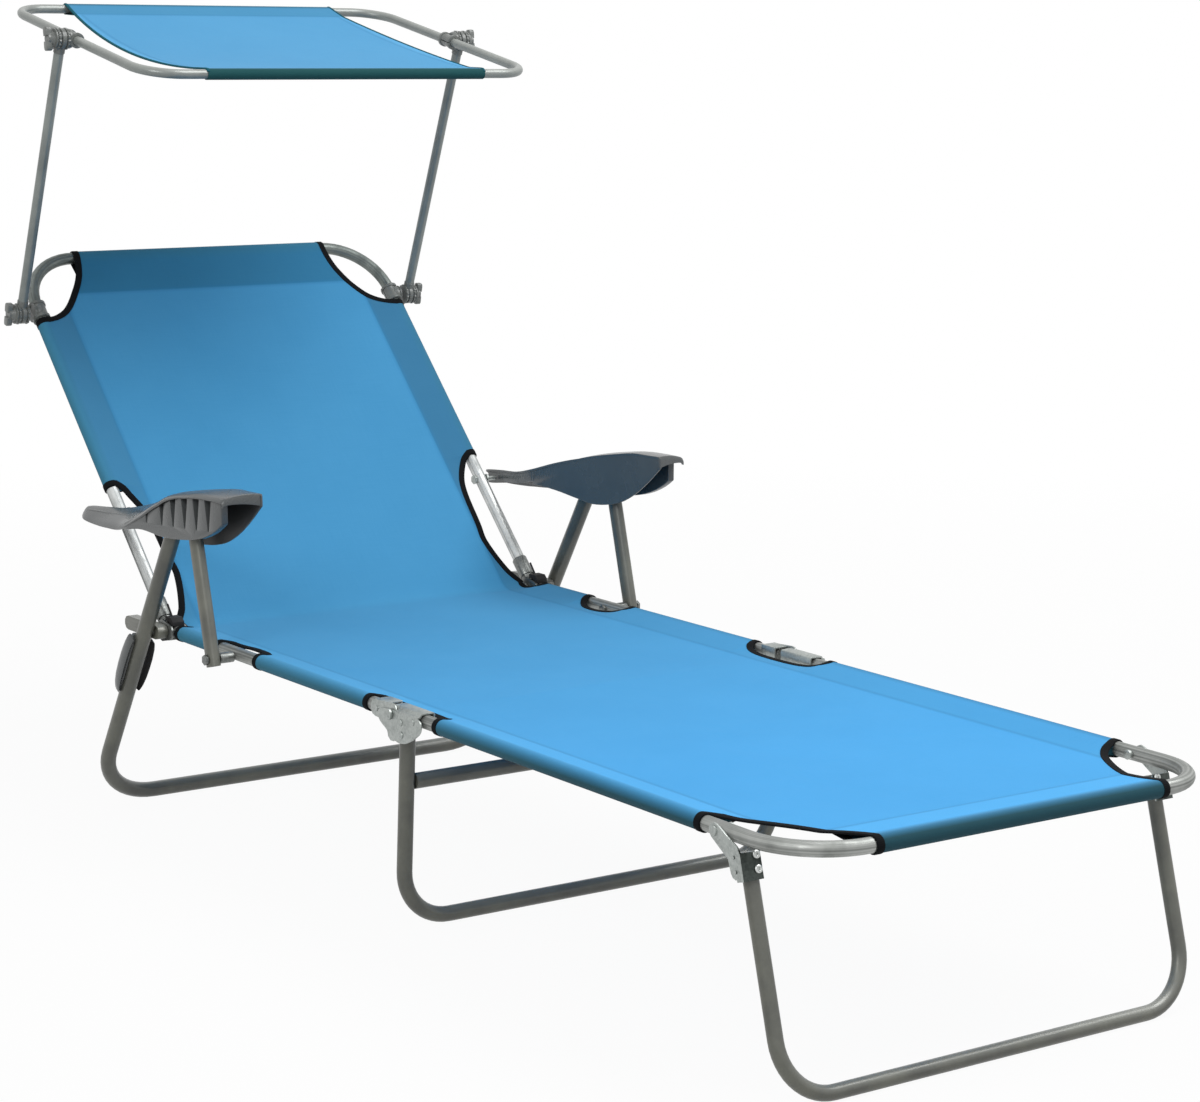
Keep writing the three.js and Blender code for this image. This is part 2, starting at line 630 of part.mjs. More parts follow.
// Front leg and its brackets
function add_front_leg() {
  const drop = front_leg_top_z - front_leg_radius;
  const lean = Math.atan2(front_leg_top_y - front_leg_floor_y, drop);
  const corners = [-1, 1].flatMap((side) => {
    const run = [[side * front_leg_x, front_leg_top_y, front_leg_top_z],
      [side * front_leg_x, front_leg_floor_y, front_leg_radius]];
    return side < 0 ? run : run.toReversed();
  });
  const screws = front_screw_places.map((s) => [front_leg_top_y - s * Math.sin(lean), front_leg_top_z - s * Math.cos(lean)]);
  const leg_side = front_leg_x + front_leg_radius;
  const holes = left_and_right.flatMap(([, side]) => screws.map(([y, z]) => axle(y, z, front_screw_radius + fit, side,
    leg_side - frame_radius, leg_side + overrun, 8)));
  piece('front_leg', cut(rod(corners, front_leg_radius, front_leg_bend), ...holes), 'leg');

  const tube_side = rail_x + frame_radius + fit;
  const plate_outer = tube_side + plate_thickness;
  const low = [front_leg_top_y - front_bracket_length * Math.sin(lean),
    front_leg_top_z - front_bracket_length * Math.cos(lean)];
  const knee = [front_leg_top_y, front_leg_top_z];
  for (const [word, side] of left_and_right) {
    const upper = plate(bar_outline([front_pivot_y, bed_height], knee, front_arm_radius, bracket_end_radius), side,
      tube_side, plate_outer);
    const lower = plate(bar_outline(knee, low, bracket_end_radius, frame_radius), side, tube_side, plate_outer);
    const web_of_bracket = plate(bar_outline([knee[0] - overrun, knee[1] - bracket_radius], low, frame_radius), side,
      leg_side + fit, plate_outer);
    const in_front = (along, off) => [knee[0] - along * Math.sin(lean) - off * Math.cos(lean),
      knee[1] - along * Math.cos(lean) + off * Math.sin(lean)];
    const face_inner = front_leg_radius + fit;
    const face_outer = face_inner + plate_thickness;
    const face = plate([in_front(0, face_inner), in_front(0, face_outer), in_front(front_face_length, face_outer),
      in_front(front_face_length, face_inner)], side, front_leg_x - front_leg_radius, plate_outer);
    const cheek = plate([in_front(0, 0), in_front(0, face_outer), in_front(front_face_length, face_outer),
      in_front(front_face_length, 0)], side, tube_side, plate_outer);
    const rivet = axle(front_pivot_y, bed_height, rivet_radius, side, rail_x - frame_radius - fit - head_thickness / 2,
      plate_outer + head_thickness / 2);
    const rivet_heads = [[rail_x - frame_radius - fit - head_thickness, rail_x - frame_radius - fit],
      [tube_side, plate_outer + head_thickness / 2]]
      .map(([a, b]) => axle(front_pivot_y, bed_height, rivet_head_radius, side, a, b));
    const pins = screws.map(([y, z]) => axle(y, z, front_screw_radius, side, leg_side - frame_radius + fit,
      plate_outer + plate_thickness / 2, 8));
    piece(`front_leg_bracket_${word}`, join(upper, lower, web_of_bracket, face, cheek, rivet, ...rivet_heads,
      ...pins), 'zinc');
  }
}

// Backrest: frame, cloth and the pins that carry the armrests
const track_start = 60;
const track_half_width = 2.5;
const track_depth = 3;
const arm_pin_radius = 3;
const back_sleeve_start = 222;
const clamp_clearance = 17;
const back_sleeve_end = strut_foot_travel - clamp_clearance;
const waist_shares = [[1, 0], [0.5, 0.12], [0.1, 0.26], [0, 0.4], [0.08, 0.55], [0.35, 0.76], [0.85, 0.94]];
const head_shares = [[1, 0], [0.85, 0.03], [0.58, 0.16], [0.28, 0.46], [0.08, 0.75], [0, 1]];
const head_corner_inset = 83;
const head_sleeve_x = rail_x - head_corner_inset;
const back_waist_inset = 37;
const back_waist_x = rail_x - back_waist_inset;

function add_backrest() {
  const corners = [back.at(-rail_x, back_tube_start), back.at(-rail_x, back_length), back.at(rail_x, back_length),
    back.at(rail_x, back_tube_start)];
  const pin_at = back.side_at(arm_pin_travel);
  const cuts = left_and_right.flatMap(([, side]) => {
    const outer = rail_x + frame_radius;
    const corner = (t, r) => back.side_at(t, r);
    const track = plate([corner(track_start, -track_half_width), corner(arm_pin_travel, -track_half_width),
      corner(arm_pin_travel, track_half_width), corner(track_start, track_half_width)], side,
      outer - track_depth, outer + overrun);
    return [track, axle(...pin_at, arm_pin_radius + fit, side, rail_x - frame_radius - overrun, outer + overrun)];
  });
  piece('backrest_frame', cut(rod(corners, frame_radius, frame_bend), ...cuts), 'rail');

  for (const [word, side] of left_and_right) {
    const inner = rail_x - frame_radius - fit;
    const outer = rail_x + frame_radius + fit;
    const nut = axle(...pin_at, head_radius, side, inner - head_thickness, inner, hexagon_sides);
    const shaft = axle(...pin_at, arm_pin_radius, side, inner - head_thickness / 2, link_outer_x);
    const collar = axle(...pin_at, head_radius, side, outer, outer + plate_thickness);
    piece(`armrest_pin_${word}`, join(nut, shaft, collar), 'zinc');
  }

  const waist = crease_half_width - back_waist_x;
  const head_width = notch_x - head_sleeve_x;
  const head_start = back_sleeve_end + cloth;
  const half = [
    ...waist_shares.map(([out, up]) => [back_waist_x + out * waist, THREE.MathUtils.lerp(frame_radius, back_sleeve_start, up)]),
    [rail_x, back_sleeve_start], [rail_x, back_sleeve_end],
    ...head_shares.map(([out, up]) => [head_sleeve_x + out * head_width, THREE.MathUtils.lerp(head_start, back_length, up)]),
  ];
  const sides = [-rail_x, rail_x].map((x) => sleeve(back, [x, back_sleeve_start], [x, back_sleeve_end], cloth_low));
  const head = sleeve(back, [-head_sleeve_x, back_length], [head_sleeve_x, back_length], cloth_low);
  piece('backrest_fabric', join(web(back, half, cloth_low, cloth_high), ...sides, head), 'blue');
}

// Armrest: a curved skin over an inner wall, an outer wall with slots and a narrow rear paddle
const arm_wall_inset = 21;
const arm_wall_x = rear_leg_x - arm_wall_inset;
const arm_wall_thickness = 3;
const arm_outer_wall_gap = 11.5;
const arm_outer_wall_x = rear_leg_x + arm_outer_wall_gap;
const arm_outer_wall_thickness = 9.5;
const arm_outer_face_x = arm_outer_wall_x + arm_outer_wall_thickness;
const arm_front_reach = 180;
const arm_rear_reach = 250;
const arm_skin_thickness = 3;
const arm_crown_height = 2.5;
const arm_skew_depth = 12;
const arm_station_shares = [-1, -0.84, -0.68, -0.49, -0.2, 0, 0.23, 0.45, 0.64, 0.82, 0.95, 1];
const arm_rise = 56;
const arm_width = 49;
const arm_inner_top_shares = [1.05, 1.04, 1.02, 0.93, 0.77, 0.63, 0.39, 0.13, -0.05, -0.13, -0.18, -0.21];
const arm_outer_top_shares = [0.95, 0.95, 0.93, 0.88, 0.73, 0.52, 0.07, -0.3, -0.39, -0.45, -0.45, -0.41];
const arm_bottom_shares = [0.79, 0.38, 0.04, -0.23, -0.39, -0.36, -0.27, -0.25, -0.34, -0.45, -0.52, -0.52];
const arm_block_bottom_shares = [0.79, 0.36, 0.09, -0.09, -0.21, -0.25, -0.23, -0.37];
const arm_lip_inner = 13;
const arm_lip_outer = 5;
const arm_lip_thickness = 2.5;
const arm_inner_face_shares = [0, 0, 0, 0, 0, 0, 0, 0, 0.14, 0.27, 0.29, 0.33];
const arm_outer_edge_shares = [0.98, 1, 1, 1, 0.96, 0.94, 0.9, 0.86, 0.78, 0.67, 0.61, 0.51];
const arm_wall_last = 7;
const paddle_first = 7;
const paddle_thickness = 11;
const paddle_gap = 2.6;
const paddle_inner_x = link_outer_x + paddle_gap;
const slot_count = 6;
const slot_height = 38;
const slot_depth = 7;
const slot_half_share = 0.18;
const slot_first_share = -0.68;
const slot_last_share = 0.15;
const slot_front_rise = 9;
const slot_rear_rise = -2;
const arm_bolt_seat = 1.5;

function arm_y(i, skew = 0) {
  const share = arm_station_shares[i];
  const reach = share < 0 ? arm_front_reach : arm_rear_reach;
  return arm_pivot_y + share * reach + (share < 0 ? -share * skew : 0);
}

// Height of the skin's top at a station, from its inner (0) to its outer edge (1)
function arm_top(i, across) {
  const edge_share = THREE.MathUtils.lerp(arm_inner_top_shares[i], arm_outer_top_shares[i], across);
  return arm_pivot_z + arm_rise * edge_share + 4 * arm_crown_height * across * (1 - across);
}

function arm_x(i, across) {
  return arm_wall_x + arm_width * THREE.MathUtils.lerp(arm_inner_face_shares[i], arm_outer_edge_shares[i], across);
}

function armrest_skin(side) {
  const across_shares = [0, 0.25, 0.5, 0.75, 1];
  const layer = (drop) => arm_station_shares.map((_, i) => across_shares.map((across) => [
    side * arm_x(i, across), arm_y(i, arm_skew_depth * across), arm_top(i, across) - drop,
  ]));
  const lip = (thickness) => across_shares.map((across) => {
    const [x, y, top] = [side * arm_x(0, across), arm_y(0, arm_skew_depth * across) + thickness, arm_top(0, across)];
    return [[x, y, top - fit], [x, y, top - THREE.MathUtils.lerp(arm_lip_inner, arm_lip_outer, across)]];
  });
  return join(slab(layer(0), layer(arm_skin_thickness)), slab(lip(0), lip(arm_lip_thickness)));
}

// An upright wall under the skin from one station to another
function armrest_wall(side, first, last, inner, outer, bottoms = arm_bottom_shares) {
  const face = (x) => Array.from({ length: last - first + 1 }, (_, k) => {
    const i = first + k;
    const across = THREE.MathUtils.clamp((x - arm_x(i, 0)) / (arm_x(i, 1) - arm_x(i, 0)), 0, 1);
    return [[side * x, arm_y(i), arm_top(i, across) - arm_skin_thickness / 2],
      [side * x, arm_y(i), arm_pivot_z + arm_rise * bottoms[i]]];
  });
  return slab(face(outer), face(inner));
}

// Tapered pockets between the ribs of the outer wall
function armrest_slots(side) {
  return Array.from({ length: slot_count }, (_, k) => {
    const place = k / (slot_count - 1);
    const y = arm_pivot_y + arm_front_reach * THREE.MathUtils.lerp(slot_first_share, slot_last_share, place);
    const tip = arm_pivot_z + THREE.MathUtils.lerp(slot_front_rise, slot_rear_rise, place);
    const half = slot_height * slot_half_share;
    return plate([[y - half, tip + slot_height], [y, tip], [y + half, tip + slot_height]], side,
      arm_outer_face_x - slot_depth, arm_outer_face_x + overrun);
  });
}

function add_armrests() {
  const last_station = arm_station_shares.length - 1;
  for (const [word, side] of left_and_right) {
    const inner_wall = armrest_wall(side, 0, arm_wall_last, arm_wall_x + fit, arm_wall_x + arm_wall_thickness);
    const outer_wall = cut(armrest_wall(side, 1, arm_wall_last, arm_outer_wall_x, arm_outer_face_x - fit,
      arm_block_bottom_shares), ...armrest_slots(side));
    const paddle = armrest_wall(side, paddle_first, last_station - 1, paddle_inner_x, paddle_inner_x + paddle_thickness);
    const wall_face = arm_wall_x + arm_wall_thickness;
    const [bolt_inner, bolt_outer] = [wall_face - arm_bolt_seat, arm_outer_wall_x + arm_bolt_seat];
    const bolt_hole = axle(arm_pivot_y, arm_pivot_z, bolt_hole_radius, side, bolt_inner, bolt_outer);
    piece(`armrest_${word}`, cut(join(armrest_skin(side), inner_wall, outer_wall, paddle), bolt_hole), 'plastic');

    const shaft = axle(arm_pivot_y, arm_pivot_z, bolt_radius, side, bolt_inner + fit, bolt_outer - fit);
    const head = axle(arm_pivot_y, arm_pivot_z, head_radius, side, wall_face + fit, wall_face + head_thickness);
    piece(`armrest_bolt_${word}`, join(shaft, head), 'zinc');
  }
}

// Clamps, struts and wing knobs of the canopy
const jaw_radius = 13;
const jaw_wall = 2.5;
const disc_radius = 14.5;
const disc_teeth = 18;
const disc_tooth = 1.2;
const hub_wall = 1.5;
const hub_inner_x = strut_x - strut_radius - hub_wall;
const hub_outer_x = strut_x + strut_radius + hub_wall;
const hub_radius = 12.5;
const collar_radius = 7.8;
const collar_reach = 30;
const strut_inset = 13;
const stud_radius = 4;
const knob_reach = 18;
const knob_radius = 9;
const wing_radius = 17.5;
const wing_half_thickness = 3;
const wing_step = 2;
const wing_root_share = 0.3;
const wing_notch_share = 0.25;
const wing_tip_share = 0.55;
const barrel_share = 0.55;
const stud_reach = 10;

function jaw(side, y, z, tube_x, tube_radius, tube_cutter) {
  const inner = tube_x - tube_radius - jaw_wall;
  const disc_outer = hub_inner_x - fit;
  const barrel = axle(y, z, jaw_radius, side, inner, disc_outer - overrun);
  const toothed = plate(toothed_outline(y, z, disc_radius, disc_tooth, disc_teeth), side, disc_outer - overrun - fit,
    disc_outer);
  const stud = axle(y, z, stud_radius, side, disc_outer - plate_thickness, hub_outer_x + stud_reach);
  return join(cut(join(barrel, toothed), tube_cutter), stud);
}

function strut_hub(side, y, z, strut_end_cutter, collar_direction) {
  const hub = plate(toothed_outline(y, z, hub_radius + disc_tooth, disc_tooth, disc_teeth), side, hub_inner_x,
    hub_outer_x);
  const [dy, dz] = collar_direction;
  const collar = rod([[side * strut_x, y, z], [side * strut_x, y + dy * collar_reach, z + dz * collar_reach]],
    collar_radius);
  const stud_hole = axle(y, z, stud_radius + fit, side, hub_inner_x - overrun, hub_outer_x + overrun);
  return cut(join(hub, collar), strut_end_cutter, stud_hole);
}

function wing_knob(side, y, z) {
  const start = hub_outer_x + fit;
  const end = start + knob_reach;
  const barrel = axle(y, z, knob_radius, side, start, start + knob_reach * barrel_share);
  const outline = [
    [start + wing_step, -knob_radius], [start + knob_reach * wing_root_share, -knob_radius], [end, -wing_radius],
    [end, -wing_radius * wing_tip_share], [end - knob_reach * wing_notch_share, 0], [end, wing_radius * wing_tip_share],
    [end, wing_radius],
    [start + knob_reach * wing_root_share, knob_radius], [start + wing_step, knob_radius],
  ];
  const shape = new THREE.Shape(outline.map(([x, r]) => new THREE.Vector2(side * x, r)));
  const geometry = new THREE.ExtrudeGeometry(shape, { depth: 2 * wing_half_thickness, bevelEnabled: false, steps: 1 });
  geometry.rotateX(Math.PI / 2);
  geometry.translate(0, y + wing_half_thickness, z);
  const bore = axle(y, z, stud_radius + fit, side, start - overrun, hub_outer_x + stud_reach + fit);
  return cut(join(barrel, solid(geometry)), bore);
}

function add_canopy_supports() {
  const dy = roof_clamp_y - clamp_y;
  const dz = roof_clamp_z - clamp_z;
  const length = Math.hypot(dy, dz);
  const up = [dy / length, dz / length];
  const down = [-up[0], -up[1]];
  for (const [word, side] of left_and_right) {
    const along = (distance, radius) => [[side * strut_x, clamp_y + up[0] * distance, clamp_z + up[1] * distance], radius];
    const [strut_foot] = along(strut_inset);
    const [strut_top] = along(length - strut_inset);
    piece(`canopy_strut_${word}`, rod([strut_foot, strut_top], strut_radius), 'leg');
    const [socket_foot] = along(strut_inset - fit);
    const [socket_top] = along(length - strut_inset + fit);
    const bore = rod([socket_foot, socket_top], strut_radius + fit);

    const low_tube = rod([back.at(side * rail_x, strut_foot_travel - jaw_radius - overrun),
      back.at(side * rail_x, strut_foot_travel + jaw_radius + overrun)], frame_radius + fit);
    piece(`lower_clamp_jaw_${word}`, jaw(side, clamp_y, clamp_z, rail_x, frame_radius + fit, low_tube), 'plastic');
    piece(`strut_foot_hub_${word}`, strut_hub(side, clamp_y, clamp_z, bore, up), 'plastic');
    piece(`lower_wing_knob_${word}`, wing_knob(side, clamp_y, clamp_z), 'plastic');

    const middle = canopy_depth * canopy_clamp_share;
    const high_tube = rod([roof.at(side * canopy_x, middle - jaw_radius - overrun),
      roof.at(side * canopy_x, middle + jaw_radius + overrun)], canopy_radius + fit);
    piece(`upper_clamp_jaw_${word}`, jaw(side, roof_clamp_y, roof_clamp_z, canopy_x, canopy_radius + fit, high_tube),
      'plastic');
    piece(`strut_top_hub_${word}`, strut_hub(side, roof_clamp_y, roof_clamp_z, bore, down), 'plastic');
    piece(`upper_wing_knob_${word}`, wing_knob(side, roof_clamp_y, roof_clamp_z), 'plastic');
  }
}

// Canopy hoop and cloth
const canopy_cloth_low = canopy_radius + cloth_fit;
const roof_station_shares = [0, 0.08, 0.2, 0.35, 0.5, 0.65, 0.8, 0.92, 1];

function add_canopy() {
  const half_gap = fit / 2;
  const corners = [roof.at(-half_gap, 0), roof.at(-canopy_x, 0), roof.at(-canopy_x, canopy_depth),
    roof.at(canopy_x, canopy_depth), roof.at(canopy_x, 0), roof.at(half_gap, 0)];
  piece('canopy_frame', rod(corners, canopy_radius, canopy_bend), 'leg');

  const layer = (lift) => roof_station_shares.map((share) => {
    const half = canopy_edge_x + 4 * canopy_edge_bulge * share * (1 - share);
    const rise = canopy_cloth_low + lift - 4 * canopy_sag * share * (1 - share);
    return [-1, -0.5, 0, 0.5, 1].map((w) => roof.at(w * half, share * canopy_depth, rise));
  });
  const sleeves = [0, canopy_depth].map((travel) => sleeve(roof, [-canopy_edge_x, travel], [canopy_edge_x, travel],
    canopy_cloth_low));
  piece('canopy_fabric', join(slab(layer(cloth), layer(0)), ...sleeves), 'blue');
}

add_seat_rails();
add_rear_leg();
add_leg_pads();
add_ratchets();
add_hinge_caps();
add_posts();
add_seat_fabric();
add_mid_brackets();
add_mid_leg();
add_foot_section();
add_front_leg();
add_backrest();
add_armrests();
add_canopy_supports();
add_canopy();

// The origin lies under the middle of the whole part
const overall = new THREE.Box3().setFromObject(root);
for (const mesh of root.children) mesh.geometry.translate(0, -(overall.min.y + overall.max.y) / 2, -overall.min.z);

export default root;
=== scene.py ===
import json
import math
from contextlib import contextmanager

import bpy
from mathutils import Matrix, Vector
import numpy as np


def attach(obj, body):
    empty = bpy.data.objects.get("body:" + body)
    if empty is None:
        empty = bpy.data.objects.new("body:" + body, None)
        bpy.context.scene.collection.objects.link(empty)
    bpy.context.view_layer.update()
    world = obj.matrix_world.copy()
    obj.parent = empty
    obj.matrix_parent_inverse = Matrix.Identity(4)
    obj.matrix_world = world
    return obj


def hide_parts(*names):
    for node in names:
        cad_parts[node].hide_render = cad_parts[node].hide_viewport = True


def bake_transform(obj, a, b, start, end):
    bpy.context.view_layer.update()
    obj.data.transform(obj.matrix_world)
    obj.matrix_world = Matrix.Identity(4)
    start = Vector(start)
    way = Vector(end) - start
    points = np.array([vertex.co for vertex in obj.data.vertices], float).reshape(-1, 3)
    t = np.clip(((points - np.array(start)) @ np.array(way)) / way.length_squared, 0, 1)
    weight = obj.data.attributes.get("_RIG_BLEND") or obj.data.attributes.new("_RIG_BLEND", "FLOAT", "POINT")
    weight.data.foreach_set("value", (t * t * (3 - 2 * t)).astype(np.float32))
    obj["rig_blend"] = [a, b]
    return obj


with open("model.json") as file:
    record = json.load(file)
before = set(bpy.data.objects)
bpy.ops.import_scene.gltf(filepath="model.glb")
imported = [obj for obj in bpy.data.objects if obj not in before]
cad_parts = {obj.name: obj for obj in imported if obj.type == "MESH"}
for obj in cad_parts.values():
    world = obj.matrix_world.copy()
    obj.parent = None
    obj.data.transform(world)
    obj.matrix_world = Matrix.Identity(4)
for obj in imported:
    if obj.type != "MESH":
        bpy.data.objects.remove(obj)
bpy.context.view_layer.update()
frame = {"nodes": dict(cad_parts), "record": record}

bpy.ops.object.select_all(action='DESELECT')


# Bed tubes
# Two straight seat rails, a U-shaped foot frame and a U-shaped backrest frame of 16 mm steel tube.
# The tube is drawn, cold bent and zinc plated, so it is silvery with fine lines along its length.

MM = 0.001
SIDES = ((-1, 'left'), (1, 'right'))
FOOT_TUBE_Y = -845.246
RAIL_X = 275
BED_HEIGHT = 255
HINGE_Y = 709
RECLINE_Y = 1261
BACK_LENGTH = 610.6
BACK_ANGLE = math.radians(45.3)
RAIL_RADIUS = 8


def at(x, y, z):
    """A place in millimetres: across, along from the foot tube's axis, and up from the floor."""
    return Vector((x, y + FOOT_TUBE_Y, z)) * MM


def on_back(x, travel, rise=0):
    """A place on the backrest: across, along its tube from the hinge, and square off its plane."""
    return at(x, RECLINE_Y + travel * math.cos(BACK_ANGLE) - rise * math.sin(BACK_ANGLE),
              BED_HEIGHT + travel * math.sin(BACK_ANGLE) + rise * math.cos(BACK_ANGLE))


def centre_line(corners, bend):
    """A tube's axis as short straight runs, with its corners rounded."""
    line = [corners[0]]
    for before, corner, after in zip(corners, corners[1:], corners[2:]):
        arriving, leaving = (corner - before).normalized(), (after - corner).normalized()
        turn, axis = arriving.angle(leaving), arriving.cross(leaving).normalized()
        start = corner - arriving * bend * MM * math.tan(turn / 2)
        middle = start + axis.cross(arriving) * bend * MM
        steps = max(4, round(math.degrees(turn) / 7))
        line += [middle + Matrix.Rotation(turn * k / steps, 3, axis) @ (start - middle)
                 for k in range(steps + 1)]
    return line + [corners[-1]]


def keep_run(tube, corners, bend):
    """Stores where each point is round the tube and along it, for patterns that follow the tube."""
    kept = tube.data.attributes
    run_of = kept.get('tube_run') or kept.new('tube_run', 'FLOAT_VECTOR', 'POINT')
    flat = (corners[1] - corners[0]).cross(corners[-1] - corners[0])
    flat = flat.normalized() if flat.length > 1e-6 else Vector((1, 0, 0))
    line = centre_line(corners, bend)
    for vertex in tube.data.vertices:
        nearest, run = None, 0.0
        for a, b in zip(line, line[1:]):
            way = b - a
            share = min(max((vertex.co - a).dot(way) / way.length_squared, 0), 1)
            off = vertex.co - a - way * share
            if nearest is None or off.length < nearest[0]:
                square = flat.cross(way.normalized())
                nearest = (off.length, off.dot(flat), off.dot(square), run + share * way.length)
            run += way.length
        run_of.data[vertex.index].vector = nearest[1:]


def pick(*pieces):
    """Selects only these pieces, and makes the first one active."""
    bpy.ops.object.select_all(action='DESELECT')
    for piece in pieces:
        piece.select_set(True)
    if pieces:
        bpy.context.view_layer.objects.active = pieces[0]


def smooth(degrees):
    """Smooths the selected pieces, apart from edges that turn by more than this."""
    bpy.ops.object.shade_smooth_by_angle(angle=math.radians(degrees))


@contextmanager
def whole_mesh():
    """Edit mode on the active piece, with all of it selected."""
    bpy.ops.object.mode_set(mode='EDIT')
    bpy.ops.mesh.select_all(action='SELECT')
    yield
    bpy.ops.object.mode_set(mode='OBJECT')


def carve(piece, cutters, operation='DIFFERENCE'):
    """Cuts each cutter out of a piece, or joins it on, and then removes the cutter."""
    for cutter in cutters:
        bpy.context.view_layer.objects.active = piece
        carving = piece.modifiers.new('carving', 'BOOLEAN')
        carving.object = cutter
        carving.operation = operation
        carving.solver = 'EXACT'
        bpy.ops.object.modifier_apply(modifier=carving.name)
        bpy.data.objects.remove(cutter)


def squash(tube, centre_x, factor):
    """Makes a tube narrower or wider across the lounger, about its own axis."""
    tube.scale.x = factor
    tube.location.x = centre_x * (1 - factor)
    bpy.ops.object.transform_apply()


def bent_tube(name, corners, radius, bend=0, sides=28):
    """A ring drawn out along its corners and spun round each bend, with closed ends."""
    place = corners[0]
    heading = (corners[1] - place).normalized()
    bpy.ops.mesh.primitive_circle_add(
        vertices=sides, radius=radius * MM, location=place, enter_editmode=True,
        rotation=heading.to_track_quat('Z', 'Y').to_euler())
    bpy.ops.mesh.select_all(action='SELECT')
    for corner, beyond in zip(corners[1:], corners[2:]):
        leaving = (beyond - corner).normalized()
        turn = heading.angle(leaving)
        setback = bend * MM * math.tan(turn / 2)
        start = corner - heading * setback
        axis = heading.cross(leaving).normalized()
        bpy.ops.mesh.extrude_region_move(TRANSFORM_OT_translate={'value': start - place})
        bpy.ops.mesh.spin(steps=max(4, round(math.degrees(turn) / 7)), angle=-turn, axis=axis,
                          center=start + axis.cross(heading) * bend * MM)
        place = corner + leaving * setback
        heading = leaving
    bpy.ops.mesh.extrude_region_move(TRANSFORM_OT_translate={'value': corners[-1] - place})
    bpy.ops.mesh.select_all(action='SELECT')
    bpy.ops.mesh.remove_doubles(threshold=1e-5)
    bpy.ops.mesh.fill_holes(sides=sides)
    bpy.ops.mesh.normals_make_consistent()
    bpy.ops.object.mode_set(mode='OBJECT')
    bpy.ops.object.transform_apply()
    tube = bpy.context.object
    tube.name = name
    smooth(40)
    keep_run(tube, corners, bend)
    return tube


def linear(hex_colour):
    """An sRGB hex colour as linear values for a shader."""
    values = [int(hex_colour[i:i + 2], 16) / 255 for i in (0, 2, 4)]
    return tuple(v / 12.92 if v <= 0.04045 else ((v + 0.055) / 1.055) ** 2.4 for v in values) + (1,)


def new_material(name):
    material = bpy.data.materials.new(name)
    material.use_nodes = True
    material.node_tree.nodes.clear()
    return material


def add_node(material, kind, sockets, **settings):
    """Adds a node. A socket gets a plain value or the output of another node."""
    node = material.node_tree.nodes.new('ShaderNode' + kind)
    for setting, value in settings.items():
        setattr(node, setting, value)
    for socket, value in sockets.items():
        if isinstance(value, bpy.types.NodeSocket):
            material.node_tree.links.new(value, node.inputs[socket])
        else:
            node.inputs[socket].default_value = value
    return node.outputs


def zinc_plated_tube_steel(name, light, dark, reflection_dark, shaded_middle=0):
    """Zinc plated drawn steel: silvery, satin, with draw lines, faint cloudy patches and painted reflection streaks.
    The last argument is the place along the tube, in metres, round which its colour is darkened as painted shade."""
    steel = new_material(name)
    run = add_node(steel, 'Attribute', {}, attribute_name='tube_run')['Vector']
    # Draw lines about 1 mm wide and 80 mm long, coarser than the real 0.2 mm ones so that they show
    lines = add_node(steel, 'TexNoise', {'Vector': add_node(steel, 'Mapping',
        {'Vector': run, 'Scale': (1000, 1000, 12)})['Vector'], 'Scale': 1, 'Detail': 4})['Fac']
    patches = add_node(steel, 'TexNoise', {'Vector': run, 'Scale': 45, 'Detail': 3})['Fac']
    # Painted reflections: darker streaks about 2 mm wide run along the tube, in its colour
    painted_reflection_streaks = add_node(steel, 'MapRange', {'Value': add_node(steel, 'TexNoise',
        {'Vector': add_node(steel, 'Mapping', {'Vector': run, 'Scale': (420, 420, 3)})['Vector'], 'Scale': 1,
        'Detail': 3})['Fac'], 'From Min': 0.42, 'From Max': 0.62, 'To Max': 0.6})[0]
    tone = add_node(steel, 'Mix', {0: painted_reflection_streaks, 6: add_node(steel, 'Mix',
        {0: patches, 6: linear(light), 7: linear(dark)}, data_type='RGBA')[2], 7: linear(reflection_dark)}, data_type='RGBA')[2]
    # Painted shade: round the given place along the tube the colour is multiplied darker
    if shaded_middle:
        along = add_node(steel, 'SeparateXYZ', {'Vector': run})['Z']
        from_middle = add_node(steel, 'Math', {0: add_node(steel, 'Math', {0: along, 1: shaded_middle},
            operation='SUBTRACT')[0]}, operation='ABSOLUTE')[0]
        tone = add_node(steel, 'Mix', {0: add_node(steel, 'MapRange',
            {'Value': from_middle, 'From Min': 0.42, 'From Max': 0.55, 'To Min': 1, 'To Max': 0})[0], 6: tone,
            7: linear('A3A9A6')}, data_type='RGBA', blend_type='MULTIPLY')[2]
    rough = add_node(steel, 'Math', {0: add_node(steel, 'MapRange',
        {'Value': lines, 'From Min': 0, 'From Max': 1, 'To Min': 0.18, 'To Max': 0.36})[0], 1: patches},
        operation='ADD')[0]
    shader = add_node(steel, 'BsdfPrincipled', {'Base Color': tone,
        'Roughness': add_node(steel, 'Math', {0: rough, 1: 0.24}, operation='SUBTRACT')[0], 'Metallic': 0.9,
        'Normal': add_node(steel, 'Bump', {'Height': lines, 'Strength': 0.12, 'Distance': 0.05 * MM})['Normal']})
    add_node(steel, 'OutputMaterial', {'Surface': shader[0]})
    return steel


def dress(piece, material, body, slot, *nodes):
    """Gives a finished piece its material and its body, and hides the nodes that it stands for. The slot is not used.
    """
    piece.data.materials.clear()
    piece.data.materials.append(material)
    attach(piece, body)
    if nodes:
        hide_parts(*nodes)
    pick()


tube_steel = zinc_plated_tube_steel('zinc_plated_tube_steel', 'B0B2AF', '858885', '555856')
# The backrest's tube is the same steel in lighter colours, as painted light
lit_back_steel = zinc_plated_tube_steel('zinc_plated_tube_steel_painted_lighter', 'CFD1D0', 'ABAEAD', '7F8281', 0.83)
FRAME_BEND = 80
SEAT_RAIL_ENDS = (HINGE_Y + 10, RECLINE_Y - 13.5)

